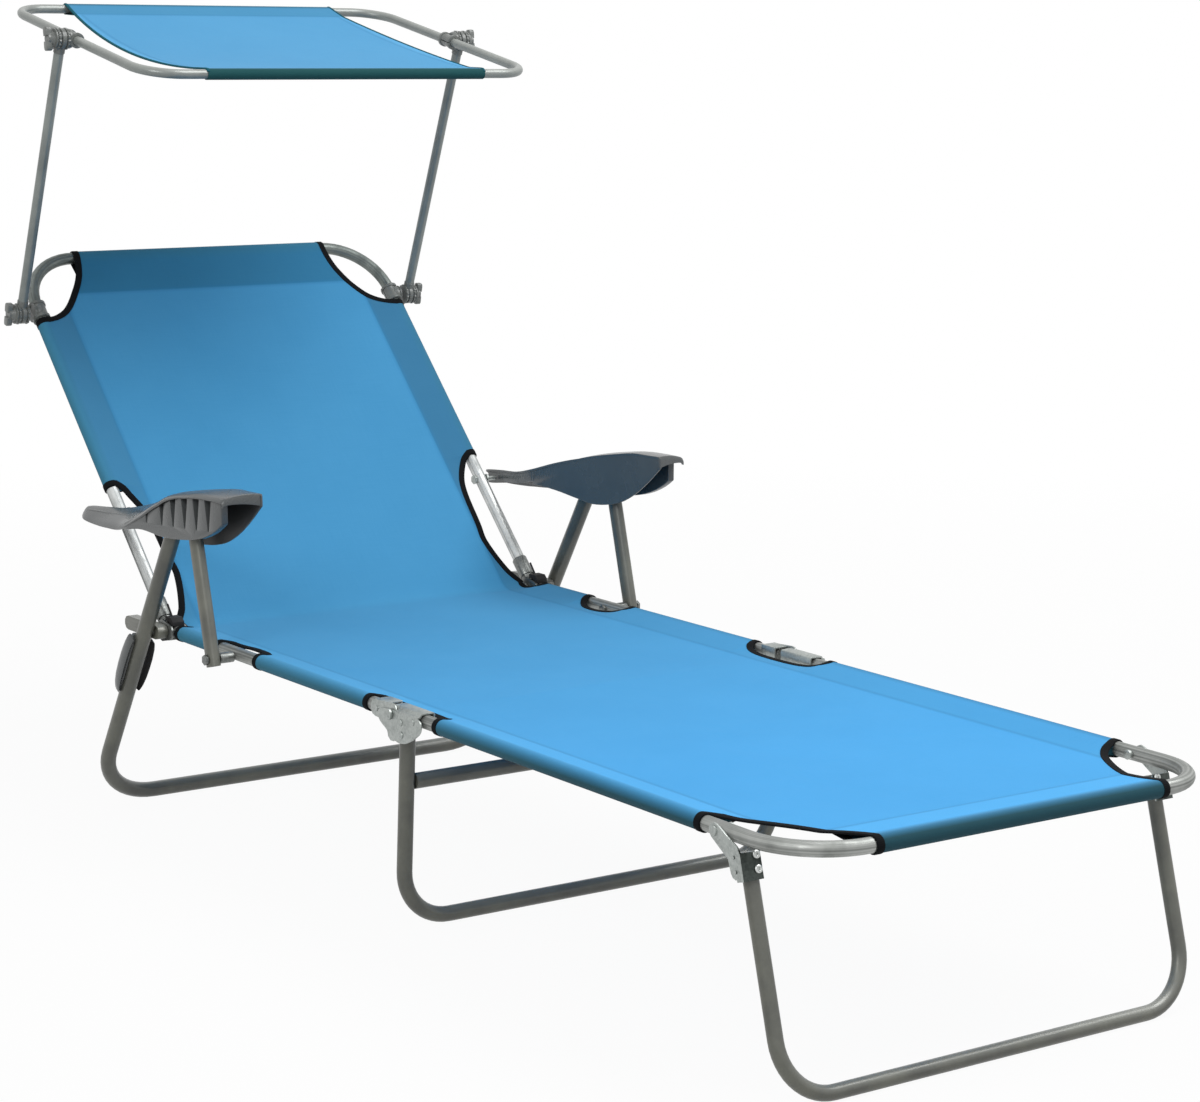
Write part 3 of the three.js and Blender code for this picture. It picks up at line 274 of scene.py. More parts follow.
for side, word in SIDES:
    ends = [at(side * RAIL_X, y, BED_HEIGHT) for y in SEAT_RAIL_ENDS]
    rail = bent_tube(f'seat_rail_{word}_tube', ends, RAIL_RADIUS)
    dress(rail, tube_steel, 'seat_base', 'silver_tube', f'seat_rail_{word}')

foot_corners = [at(x, y, BED_HEIGHT) for x, y in
                ((-RAIL_X, HINGE_Y - 10), (-RAIL_X, 0), (RAIL_X, 0), (RAIL_X, HINGE_Y - 10))]
foot_tube = bent_tube('foot_frame_tube', foot_corners, RAIL_RADIUS, FRAME_BEND)
dress(foot_tube, tube_steel, 'foot_section', 'silver_tube', 'foot_frame')

# A groove is milled in the outer side of each backrest tube, where the armrest's pin slides
GROOVE = {'from': 60, 'to': 184, 'width': 5, 'depth': 3.2}
back_corners = [on_back(x, travel) for x, travel in
                ((-RAIL_X, 20), (-RAIL_X, BACK_LENGTH), (RAIL_X, BACK_LENGTH), (RAIL_X, 20))]
back_tube = bent_tube('backrest_frame_tube', back_corners, RAIL_RADIUS, FRAME_BEND)
for side in (-1, 1):
    ends = [on_back(side * (RAIL_X + RAIL_RADIUS), GROOVE[key]) for key in ('from', 'to')]
    cutter = bent_tube('groove_cutter', ends, GROOVE['width'] / 2, sides=16)
    squash(cutter, ends[0].x, 2 * GROOVE['depth'] / GROOVE['width'])
    carve(back_tube, [cutter])
back_tube.select_set(True)
smooth(40)
keep_run(back_tube, back_corners, FRAME_BEND)
dress(back_tube, lit_back_steel, 'backrest', 'silver_tube', 'backrest_frame')


# Legs, crossbar and armrest posts
# Three U-shaped legs and a crossbar of round steel tube, and two short posts of flattened tube cut square.
# All are powder coated warm grey, which gives a semi-matt skin with a fine orange peel.

ARM_PIVOT = (1171, 405)
REAR_LEG = {'x': 310, 'radius': 10, 'floor_y': 1408, 'bend': 82, 'above_pivot': 9}
MID_LEG = {'x': 264, 'radius': 9, 'floor_y': 720, 'bend': 60, 'pivot_z': 233, 'crossbar_z': 173}
FRONT_LEG = {'x': 269, 'radius': 8, 'bend': 60, 'top': (91.8, 238.6), 'floor_y': 26.6}
POST = {'foot': (1080.9, 252.8), 'top': (1128.6, 425), 'tail': 9, 'half_width': 8, 'half_depth': 11,
        'wall': 1.4, 'bore_depth': 30}


def powder_coated_steel(name, dark, light, metallic):
    """Powder coated steel: grey polyester, semi-matt, with orange peel about 0.8 mm across, faint mottling, and
    painted light on faces that look up.
    """
    coat = new_material(name)
    texture = add_node(coat, 'TexCoord', {})
    place = texture['Object']
    dust = add_node(coat, 'MapRange', {'Value': add_node(coat, 'TexNoise',
        {'Vector': place, 'Scale': 18, 'Detail': 5, 'Roughness': 0.6})['Fac'], 'From Min': 0.35, 'From Max': 0.7})[0]
    # Painted light: faces that look up are mixed towards a paler grey
    upward = add_node(coat, 'SeparateXYZ', {'Vector': texture['Normal']})['Z']
    painted_top_light = add_node(coat, 'MapRange', {'Value': upward, 'From Min': 0.1, 'From Max': 0.95, 'To Max': 0.4})[0]
    tone = add_node(coat, 'Mix', {0: painted_top_light, 6: add_node(coat, 'Mix', {0: dust, 6: linear(dark), 7: linear(light)},
        data_type='RGBA')[2], 7: linear('A9ABA6')}, data_type='RGBA')[2]
    shader = add_node(coat, 'BsdfPrincipled', {'Base Color': tone,
        'Roughness': add_node(coat, 'MapRange', {'Value': dust, 'From Min': 0, 'From Max': 1, 'To Min': 0.28,
        'To Max': 0.42})[0], 'Metallic': metallic, 'Normal': add_node(coat, 'Bump',
        {'Height': add_node(coat, 'TexNoise', {'Vector': place, 'Scale': 1250, 'Detail': 2})['Fac'], 'Strength': 0.3,
        'Distance': 0.1 * MM})['Normal']})
    add_node(coat, 'OutputMaterial', {'Surface': shader[0]})
    return coat


def leg_corners(x, top_y, top_z, floor_y, radius):
    return [at(-x, top_y, top_z), at(-x, floor_y, radius), at(x, floor_y, radius), at(x, top_y, top_z)]


leg_coat = powder_coated_steel('powder_coated_grey_steel', '4E4F4A', '65665D', 0.2)
lean = math.atan2(REAR_LEG['floor_y'] - ARM_PIVOT[0], ARM_PIVOT[1] - REAR_LEG['radius'])
rear_leg = bent_tube('rear_leg_tube', leg_corners(
    REAR_LEG['x'], ARM_PIVOT[0] - REAR_LEG['above_pivot'] * math.sin(lean),
    ARM_PIVOT[1] + REAR_LEG['above_pivot'] * math.cos(lean), REAR_LEG['floor_y'], REAR_LEG['radius']),
    REAR_LEG['radius'], REAR_LEG['bend'])
dress(rear_leg, leg_coat, 'seat_base', 'grey_tube', 'rear_leg')

mid_leg = bent_tube('mid_leg_tube', leg_corners(
    MID_LEG['x'], HINGE_Y, MID_LEG['pivot_z'] + MID_LEG['radius'], MID_LEG['floor_y'], MID_LEG['radius']),
    MID_LEG['radius'], MID_LEG['bend'])
dress(mid_leg, leg_coat, 'middle_leg', 'grey_tube', 'mid_leg')
bar_y = HINGE_Y + (MID_LEG['floor_y'] - HINGE_Y) * (MID_LEG['pivot_z'] - MID_LEG['crossbar_z']) / (
    MID_LEG['pivot_z'] - MID_LEG['radius'])
bar_end = MID_LEG['x'] - MID_LEG['radius'] - 0.3
crossbar = bent_tube('mid_crossbar_tube', [at(x, bar_y, MID_LEG['crossbar_z']) for x in (-bar_end, bar_end)],
                     MID_LEG['radius'])
dress(crossbar, leg_coat, 'middle_leg', 'grey_tube', 'mid_crossbar')

front_leg = bent_tube('front_leg_tube', leg_corners(
    FRONT_LEG['x'], *FRONT_LEG['top'], FRONT_LEG['floor_y'], FRONT_LEG['radius']),
    FRONT_LEG['radius'], FRONT_LEG['bend'])
dress(front_leg, leg_coat, 'front_leg_frame', 'grey_tube', 'front_leg')

for side, word in SIDES:
    (foot_y, foot_z), (top_y, top_z) = POST['foot'], POST['top']
    rise = math.hypot(top_y - foot_y, top_z - foot_z)
    low_y = foot_y - POST['tail'] * (top_y - foot_y) / rise
    low_z = foot_z - POST['tail'] * (top_z - foot_z) / rise
    ends = [at(side * REAR_LEG['x'], top_y, top_z), at(side * REAR_LEG['x'], low_y, low_z)]
    post = bent_tube(f'arm_post_{word}_tube', ends, POST['half_depth'], sides=32)
    squash(post, ends[0].x, POST['half_width'] / POST['half_depth'])
    # The square-cut lower end is open: its wall shows as a rim round a dark bore
    bpy.ops.object.mode_set(mode='EDIT')
    bpy.ops.mesh.select_all(action='DESELECT')
    bpy.ops.object.mode_set(mode='OBJECT')
    for face in post.data.polygons:
        face.select = len(face.vertices) > 4 and (face.center - ends[1]).length < 0.002
    bpy.ops.object.mode_set(mode='EDIT')
    bpy.ops.mesh.inset(thickness=POST['wall'] * MM)
    bpy.ops.mesh.extrude_region_move(
        TRANSFORM_OT_translate={'value': (ends[0] - ends[1]).normalized() * POST['bore_depth'] * MM})
    bpy.ops.object.mode_set(mode='OBJECT')
    dress(post, leg_coat, 'seat_base', 'grey_tube', f'arm_post_{word}')


# Hinges, brackets, bolts and pads
# Pressed sheet steel, zinc dipped, holds the hinges and legs; bolts and rivets are zinc plated as well.
# The caps over the ratchets are moulded black, and the pads behind the rear leg are moulded grey.

def galvanised_sheet_steel(name, light, dark):
    """Hot dipped sheet steel: bright, with zinc spangle about 2 mm across and rubbed streaks."""
    sheet = new_material(name)
    place = add_node(sheet, 'TexCoord', {})['Object']
    spangle = add_node(sheet, 'TexVoronoi', {'Vector': place, 'Scale': 450})['Color']
    smear = add_node(sheet, 'TexNoise', {'Vector': place, 'Scale': 90, 'Detail': 6, 'Distortion': 0.6})['Fac']
    blend = add_node(sheet, 'Math', {0: add_node(sheet, 'SeparateColor', {'Color': spangle})[0], 1: smear},
        operation='MULTIPLY')[0]
    shader = add_node(sheet, 'BsdfPrincipled', {'Base Color': add_node(sheet, 'Mix',
        {0: blend, 6: linear(light), 7: linear(dark)}, data_type='RGBA')[2], 'Metallic': 0.85,
        'Roughness': add_node(sheet, 'MapRange', {'Value': smear, 'From Min': 0.3, 'From Max': 0.7, 'To Min': 0.28,
        'To Max': 0.5})[0], 'Normal': add_node(sheet, 'Bump', {'Height': add_node(sheet, 'TexNoise',
        {'Vector': place, 'Scale': 700, 'Detail': 4})['Fac'], 'Strength': 0.2, 'Distance': 0.1 * MM})['Normal']})
    add_node(sheet, 'OutputMaterial', {'Surface': shader[0]})
    return sheet


def moulded_polypropylene(name, dark, light, roughness):
    """Injection moulded polypropylene: a fine spark-eroded grain and faint flow clouds in the colour."""
    plastic = new_material(name)
    place = add_node(plastic, 'TexCoord', {})['Object']
    # Mould grain about 0.7 mm across, coarser than the real 0.3 mm so that it shows
    grain = add_node(plastic, 'TexVoronoi', {'Vector': place, 'Scale': 1400}, feature='SMOOTH_F1')['Distance']
    flow = add_node(plastic, 'TexNoise', {'Vector': place, 'Scale': 22, 'Detail': 5, 'Distortion': 0.8})['Fac']
    shader = add_node(plastic, 'BsdfPrincipled', {'Base Color': add_node(plastic, 'Mix',
        {0: flow, 6: linear(dark), 7: linear(light)}, data_type='RGBA')[2], 'IOR': 1.49,
        'Roughness': add_node(plastic, 'MapRange', {'Value': flow, 'From Min': 0, 'From Max': 1,
        'To Min': roughness - 0.08, 'To Max': roughness + 0.1})[0],
        'Normal': add_node(plastic, 'Bump', {'Height': grain, 'Strength': 0.18, 'Distance': 0.15 * MM})['Normal']})
    add_node(plastic, 'OutputMaterial', {'Surface': shader[0]})
    return plastic


sheet_steel = galvanised_sheet_steel('galvanised_sheet_steel', 'A9AEAB', '7E8482')
worn_steel = galvanised_sheet_steel('worn_zinc_sheet_steel', '7A7D7B', '4E5150')
# A darker copy of the zinc, used as painted shade
painted_shade_steel = galvanised_sheet_steel('zinc_sheet_steel_painted_shade', '484E4B', '2C3230')
bright_steel = galvanised_sheet_steel('bright_zinc_plated_screw_steel', 'D2D5D3', 'A8ACAA')
grey_plastic = moulded_polypropylene('moulded_grey_polypropylene', '404344', '4E5151', 0.26)
black_plastic = moulded_polypropylene('moulded_black_polypropylene', '060607', '0E0E10', 0.8)
finish_of = {
    'ratchet_lower': worn_steel, 'ratchet_upper': worn_steel, 'recline_bolt': worn_steel,
    'post_bolt': worn_steel, 'mid_bracket_seat': sheet_steel,
    'front_leg_bracket': sheet_steel, 'armrest_pin': sheet_steel, 'armrest_bolt': sheet_steel,
    'rail_end_link': leg_coat, 'hinge_cap': black_plastic,
}
slot_of = {
    sheet_steel: 'zinc_steel', worn_steel: 'zinc_steel', leg_coat: 'grey_tube', black_plastic: 'black_plastic'}
body_of = {node: body for body, nodes in frame['record']['behaviour']['bodies'].items() for node in nodes}


def bevel_edges(piece, width, segments=3, angle=35):
    bevel = piece.modifiers.new('rounded_edges', 'BEVEL')
    bevel.width = width * MM
    bevel.segments = segments
    bevel.limit_method = 'ANGLE'
    bevel.angle_limit = math.radians(angle)
    bevel.use_clamp_overlap = True
    bpy.context.view_layer.objects.active = piece
    bpy.ops.object.modifier_apply(modifier=bevel.name)


def with_soft_edges(node, width):
    """A copy of a CAD node with its triangles merged to whole faces and its edges rounded."""
    piece = bpy.data.objects.new(f'{node}_pressing', frame['nodes'][node].data.copy())
    bpy.context.collection.objects.link(piece)
    pick(piece)
    with whole_mesh():
        bpy.ops.mesh.remove_doubles(threshold=1e-6)
        bpy.ops.mesh.dissolve_limited(angle_limit=math.radians(1))
    bevel_edges(piece, width, segments=2, angle=40)
    smooth(40)
    return piece


def shade_faces(piece, material, chosen):
    """Gives the chosen faces of a dressed piece a second material."""
    piece.data.materials.append(material)
    for face in piece.data.polygons:
        face.material_index = int(chosen(face))


for node in frame['nodes']:
    family = node.rsplit('_', 1)[0]
    if family in finish_of:
        finish = finish_of[family]
        piece = with_soft_edges(node, 0.35)
        dress(piece, finish, body_of[node], slot_of[finish], node)
        if family == 'front_leg_bracket':
            # Painted shade: the bracket's front faces below the rail get the darker zinc
            below_rail = (BED_HEIGHT - 10) * MM
            shade_faces(piece, painted_shade_steel, lambda face: face.normal.y < -0.6 and face.center.z < below_rail)

# Two domed socket screws hold each front bracket to its leg, near its inner edge
SCREW = {'x': 266.5, 'down': (3, 17), 'forward': 10.1, 'radius': 4.3, 'height': 2.8, 'rounding': 1.3}
SCREW_SOCKET = {'radius': 1.7, 'from': 1.4, 'to': 4}
leg_lean = math.atan2(FRONT_LEG['top'][0] - FRONT_LEG['floor_y'], FRONT_LEG['top'][1] - FRONT_LEG['radius'])
forward = Vector((0, -math.cos(leg_lean), math.sin(leg_lean)))
for side, word in SIDES:
    for number, down in enumerate(SCREW['down'], 1):
        foot = at(side * SCREW['x'], FRONT_LEG['top'][0] - down * math.sin(leg_lean),
                  FRONT_LEG['top'][1] - down * math.cos(leg_lean)) + forward * SCREW['forward'] * MM
        screw = bent_tube(f'front_screw_{number}_{word}', [foot, foot + forward * SCREW['height'] * MM],
                          SCREW['radius'], sides=24)
        bevel_edges(screw, SCREW['rounding'])
        depths = [foot + forward * SCREW_SOCKET[key] * MM for key in ('from', 'to')]
        carve(screw, [bent_tube('socket', depths, SCREW_SOCKET['radius'], sides=6)])
        dress(screw, bright_steel, 'front_leg_frame', 'zinc_steel')

# Pads clipped behind the rear leg: two leaves beside the tube, joined by a web behind it
# Shares of the pad's length, width and depth, then the ring round it: out from the tube's axis, and behind it
PAD_STATIONS = ((0, 0.5, 0.7), (0.04, 0.72, 0.8), (0.16, 0.9, 0.92), (0.35, 1, 1), (0.55, 1, 1), (0.74, 0.93, 0.94),
                (0.88, 0.78, 0.8), (0.96, 0.6, 0.6), (1, 0.42, 0.42))
PAD_RING = ((17, -3), (18.2, 1), (18.2, 9), (16.5, 14), (12, 12), (8, 13.5), (0, 14.5), (-9, 13.5), (-14, 12),
            (-20, 12.5), (-22.5, 8), (-22.5, 0), (-21, -3), (-19, -3), (-15, 2), (-12.5, 1), (-10.4, 0), (-8.6, 5.7),
            (-5, 9), (0, 10.4), (5, 9), (8.6, 5.7), (10.4, 0), (12, 1.5), (14.5, 0))
# Down the leg from the rail: where the pad starts on its inner and outer side, and where it ends
PAD_STARTS = (19, 9)
PAD_END = 98
PAD_PLAY = 0.4


def lofted(name, rings):
    """A grid shaped to rings of points, closed round each ring and filled at both ends."""
    wide = len(rings[0])
    pick()
    bpy.ops.mesh.primitive_grid_add(x_subdivisions=wide, y_subdivisions=len(rings) - 1, size=1)
    piece = bpy.context.object
    piece.name = name
    for vertex in piece.data.vertices:
        column, row = round((vertex.co.x + 0.5) * wide), round((vertex.co.y + 0.5) * (len(rings) - 1))
        vertex.co = rings[row][column % wide]
    with whole_mesh():
        bpy.ops.mesh.remove_doubles(threshold=1e-6)
        bpy.ops.mesh.fill_holes(sides=0)
        bpy.ops.mesh.select_all(action='SELECT')
        bpy.ops.mesh.normals_make_consistent()
    return piece


def mirrored(piece, name):
    """A copy with its own mesh on the other side of the lounger."""
    pick(piece)
    bpy.ops.object.duplicate()
    copy = bpy.context.object
    copy.name = name
    copy.scale.x = -1
    bpy.ops.object.transform_apply()
    with whole_mesh():
        bpy.ops.mesh.normals_make_consistent()
    return copy


def dress_pair(piece, kind, material, body, slot, node):
    """Mirrors a right piece and dresses both. In the body's name, {side} stands for left or right."""
    pair = (piece, mirrored(piece, f'{node}_left_{kind}'))
    piece.name = f'{node}_right_{kind}'
    for part, side in zip(pair, ('right', 'left')):
        dress(part, material, body.format(side=side), slot, f'{node}_{side}')
    return pair


pad_rings = []
for along, width, depth in PAD_STATIONS:
    ring = []
    for out, behind in PAD_RING:
        side_share = min(max((out + 28) / 45, 0), 1)
        start = PAD_STARTS[0] + (PAD_STARTS[1] - PAD_STARTS[0]) * side_share
        travel = start + (PAD_END - start) * along
        beyond = abs(out) - REAR_LEG['radius'] - PAD_PLAY
        across = out if beyond < 0 else math.copysign(REAR_LEG['radius'] + PAD_PLAY + beyond * width, out)
        back = behind if behind < 4 or abs(out) < 9 else 4 + (behind - 4) * depth
        ring.append(at(REAR_LEG['x'] + across, RECLINE_Y + travel * math.sin(lean) + back * math.cos(lean),
                       BED_HEIGHT - travel * math.cos(lean) + back * math.sin(lean)))
    pad_rings.append(ring)
pad = lofted('leg_pad_right_moulding', pad_rings)
bevel_edges(pad, 1.2, segments=3, angle=30)
smooth(45)
for piece in dress_pair(pad, 'moulding', grey_plastic, 'seat_base', 'grey_plastic', 'leg_pad'):
    # Painted shade: the pad's inner leaf is given the black plastic
    shade_faces(piece, black_plastic, lambda face: abs(face.center.x) < (REAR_LEG['x'] - REAR_LEG['radius']) * MM)


# Bed cloth
# One length of plain woven polyester, from round the foot tube to round the head tube. Its long sides fold over
# the side tubes and are sewn down 44 mm further in, and it is cut away round the corners, hinges and posts.
# It is two pieces here, which meet in the flat of the seat, so that each bends over one hinge only.

TUBE_TO_SEAM = 44
SIDE_SEAM_X = RAIL_X - TUBE_TO_SEAM
END_SEAM = 62
BED_LENGTH = RECLINE_Y + BACK_LENGTH
CLOTH_THICKNESS = 0.9
CLOTH_RADIUS = RAIL_RADIUS + 0.3 + CLOTH_THICKNESS / 2
CREASE_RADIUS = 34
MEETING_LINE = 880
# How far under the cloth's middle the folded layer lies at its seam, and how far short of the seam it is cut
UNDER_SEAM = 1.2
HEM_SHORT = 2
# The cloth bends over this much on each side of a hinge
HINGE_BLEND = 22
# Where the long sides have sleeves, along the bed from the foot tube's axis
SLEEVES = ((148, 627), (766, 1030), (1121, 1230), (RECLINE_Y + 222, RECLINE_Y + 503))
# Cut edge between the sleeves: along the bed, then out from the middle
CUT_EDGES = (
    ((-95, 192), (-10, 192), (28, 195), (72, 208), (116, 232), (138, 251), (148, 272)),
    ((627, 272), (632, 264), (644, 259), (675, 255), (730, 255), (752, 259), (761, 264), (766, 272)),
    ((1030, 272), (1036, 264), (1048, 256), (1065, 250), (1090, 250), (1105, 256), (1115, 264), (1121, 272)),
    ((1230, 272), (1236, 263), (1261, 261), (1269, 263), (1293, 250), (1342, 238), (1368, 240), (1436, 245),
     (1474, 262), (1483, 272)),
    ((1764, 272), (1770, 256), (1785, 235), (1814, 214), (1840, 201), (1873, 195), (BED_LENGTH + 95, 195)),
)


def eased(low, slope_low, high, slope_high, s):
    """A smooth value at share s of the way between two ends, with a slope at each."""
    return (low * (2 * s**3 - 3 * s**2 + 1) + slope_low * (s**3 - 2 * s**2 + s)
            + high * (3 * s**2 - 2 * s**3) + slope_high * (s**3 - s**2))


def smooth_path(points, step=3):
    """The points joined by a smooth curve, at about equal steps."""
    path = [Vector(p) for p in points]
    path = [2 * path[0] - path[1]] + path + [2 * path[-1] - path[-2]]
    curve = []
    for a, b, c, d in zip(path, path[1:], path[2:], path[3:]):
        count = max(2, round((c - b).length / step))
        near, far = (b - a).length, (d - c).length
        slope_b = (c - a) * (c - b).length / max((c - b).length + near, 1e-9)
        slope_c = (d - b) * (c - b).length / max(far + (c - b).length, 1e-9)
        curve += [eased(b, slope_b, c, slope_c, k / count) for k in range(count)]
    return curve + [Vector(points[-1])]


def over_tube(along, span, radius, lift=0):
    """Where cloth lies, along it from a seam that is span from a tube's axis: out from the seam, and up.
    Lift moves it off the cloth's face."""
    straight = math.sqrt(span**2 - radius**2)
    leave = math.acos(radius / span)
    arc = 2 * (math.pi - leave) * radius
    if along < straight:
        share = along / straight
        return (span - radius * math.cos(leave)) * share, radius * math.sin(leave) * share + lift
    if along < straight + arc:
        turned = math.pi - leave - (along - straight) / radius
        return span + (radius + lift) * math.cos(turned), (radius + lift) * math.sin(turned)
    share = max(1 - (along - straight - arc) / straight, 0)
    under = radius * math.sin(leave) * share + UNDER_SEAM * (1 - share) + lift
    return (span - radius * math.cos(leave)) * share, -under


def folded_length(span, radius):
    """The cloth's length from the seam round the tube and back to the seam."""
    return 2 * math.sqrt(span**2 - radius**2) + 2 * (math.pi - math.acos(radius / span)) * radius


SIDE_FOLD = folded_length(TUBE_TO_SEAM, CLOTH_RADIUS)
END_FOLD = folded_length(END_SEAM, CLOTH_RADIUS)
SIDE_CUT = SIDE_SEAM_X + SIDE_FOLD - HEM_SHORT
END_CUT = END_SEAM - END_FOLD + HEM_SHORT
EDGE_CURVES = [smooth_path(points) for points in CUT_EDGES]
SIDE_STRAIGHT = math.sqrt(TUBE_TO_SEAM**2 - CLOTH_RADIUS**2)
FLAT_EDGE = SIDE_SEAM_X + SIDE_STRAIGHT


def half_width(travel):
    """The cloth's half width, flat, at a place along the bed."""
    for start, end in SLEEVES:
        if start <= travel <= end:
            return SIDE_CUT
    for curve in EDGE_CURVES:
        for a, b in zip(curve, curve[1:]):
            if a.x <= travel <= b.x:
                return min(a.y + (b.y - a.y) * (travel - a.x) / max(b.x - a.x, 1e-9), FLAT_EDGE)
    return 0


def tube_hold(travel):
    """1 where a sleeve holds the cloth's side up, fading to 0 in the cut-outs."""
    gap = min(max(start - travel, travel - end, 0) for start, end in SLEEVES)
    return math.exp(-gap / 16)


# Where the cloth sags, and how far in the middle
SAGS = ((END_SEAM, HINGE_Y, 4), (HINGE_Y, RECLINE_Y - 12, 4), (RECLINE_Y + 12, BED_LENGTH - END_SEAM, 6))


def bed_cloth(out, travel, lift=0):
    """A point of the bed cloth, from its flat place: out from the middle line, and along from the foot tube."""
    side = -1 if out < 0 else 1
    across, rise = abs(out), 0
    if across > SIDE_SEAM_X:
        straight, height = over_tube(min(across, FLAT_EDGE) - SIDE_SEAM_X, TUBE_TO_SEAM, CLOTH_RADIUS)
        beyond, folded = over_tube(across - SIDE_SEAM_X, TUBE_TO_SEAM, CLOTH_RADIUS, lift)
        rise = height * tube_hold(travel) + lift if across < FLAT_EDGE else folded
        across = SIDE_SEAM_X + beyond
    elif END_SEAM < travel < BED_LENGTH - END_SEAM:
        rise = lift
    middle = 1 - min(across / SIDE_SEAM_X, 1) ** 2
    for start, end, sag in SAGS:
        share = min(max((travel - start) / (end - start), 0), 1)
        rise -= sag * middle * (4 * share * (1 - share)) ** 0.6
    if travel < END_SEAM:
        beyond, height = over_tube(END_SEAM - travel, END_SEAM, CLOTH_RADIUS, lift)
        travel, rise = END_SEAM - beyond, rise + height
    if travel > BED_LENGTH - END_SEAM:
        beyond, height = over_tube(travel - BED_LENGTH + END_SEAM, END_SEAM, CLOTH_RADIUS, lift)
        travel, rise = BED_LENGTH - END_SEAM + beyond, rise + height
    reach = CREASE_RADIUS * math.tan(BACK_ANGLE / 2)
    if travel < RECLINE_Y - reach:
        return at(side * across, travel, BED_HEIGHT + rise)
    if travel > RECLINE_Y + reach:
        return on_back(side * across, travel - RECLINE_Y, rise)
    turned = (travel - RECLINE_Y + reach) / (2 * reach) * BACK_ANGLE
    inner = CREASE_RADIUS - rise
    return at(side * across, RECLINE_Y - reach + inner * math.sin(turned),
              BED_HEIGHT + CREASE_RADIUS - inner * math.cos(turned))


def sheet_of_rows(name, points, flats, wide):
    """Rows of points as a sheet, wide points to a row, with their flat places in metres as its UV map."""
    mesh = bpy.data.meshes.new(name)
    mesh.from_pydata(points, [], [
        (k, k + 1, k + wide + 1, k + wide) for k in range(len(points) - wide) if (k + 1) % wide])
    uv_map = mesh.uv_layers.new(name='cloth_flat')
    for loop in mesh.loops:
        uv_map.data[loop.index].uv = flats[loop.vertex_index]
    sheet = bpy.data.objects.new(name, mesh)
    bpy.context.collection.objects.link(sheet)
    bpy.context.view_layer.objects.active = sheet
    sheet.select_set(True)
    return sheet


def woven_sheet(name, place, outs, travels, edge):
    """A sheet through a grid of flat places, cut along its edge."""
    points, flats = [], []
    for travel in travels:
        limit = edge(travel)
        for out in outs:
            cut = max(-limit, min(limit, out))
            flats.append((cut * MM, travel * MM))
            points.append(place(cut, travel))
    sheet = sheet_of_rows(name, points, flats, len(outs))
    with whole_mesh():
        bpy.ops.mesh.remove_doubles(threshold=2e-6)
        bpy.ops.mesh.dissolve_degenerate(threshold=1e-6)
    bpy.ops.object.shade_smooth()
    return sheet


def cloth_area(sheet):
    return sum(face.area for face in sheet.data.polygons)


def thicken(sheet, thickness):
    solidify = sheet.modifiers.new('thickness', 'SOLIDIFY')
    solidify.thickness = thickness * MM
    solidify.offset = 0
    bpy.context.view_layer.objects.active = sheet
    bpy.ops.object.modifier_apply(modifier=solidify.name)
    sheet.select_set(True)
    smooth(50)
    sheet.select_set(False)


def spread(low, high, step):
    count = max(1, math.ceil((high - low) / step))
    return [low + (high - low) * k / count for k in range(count + 1)]


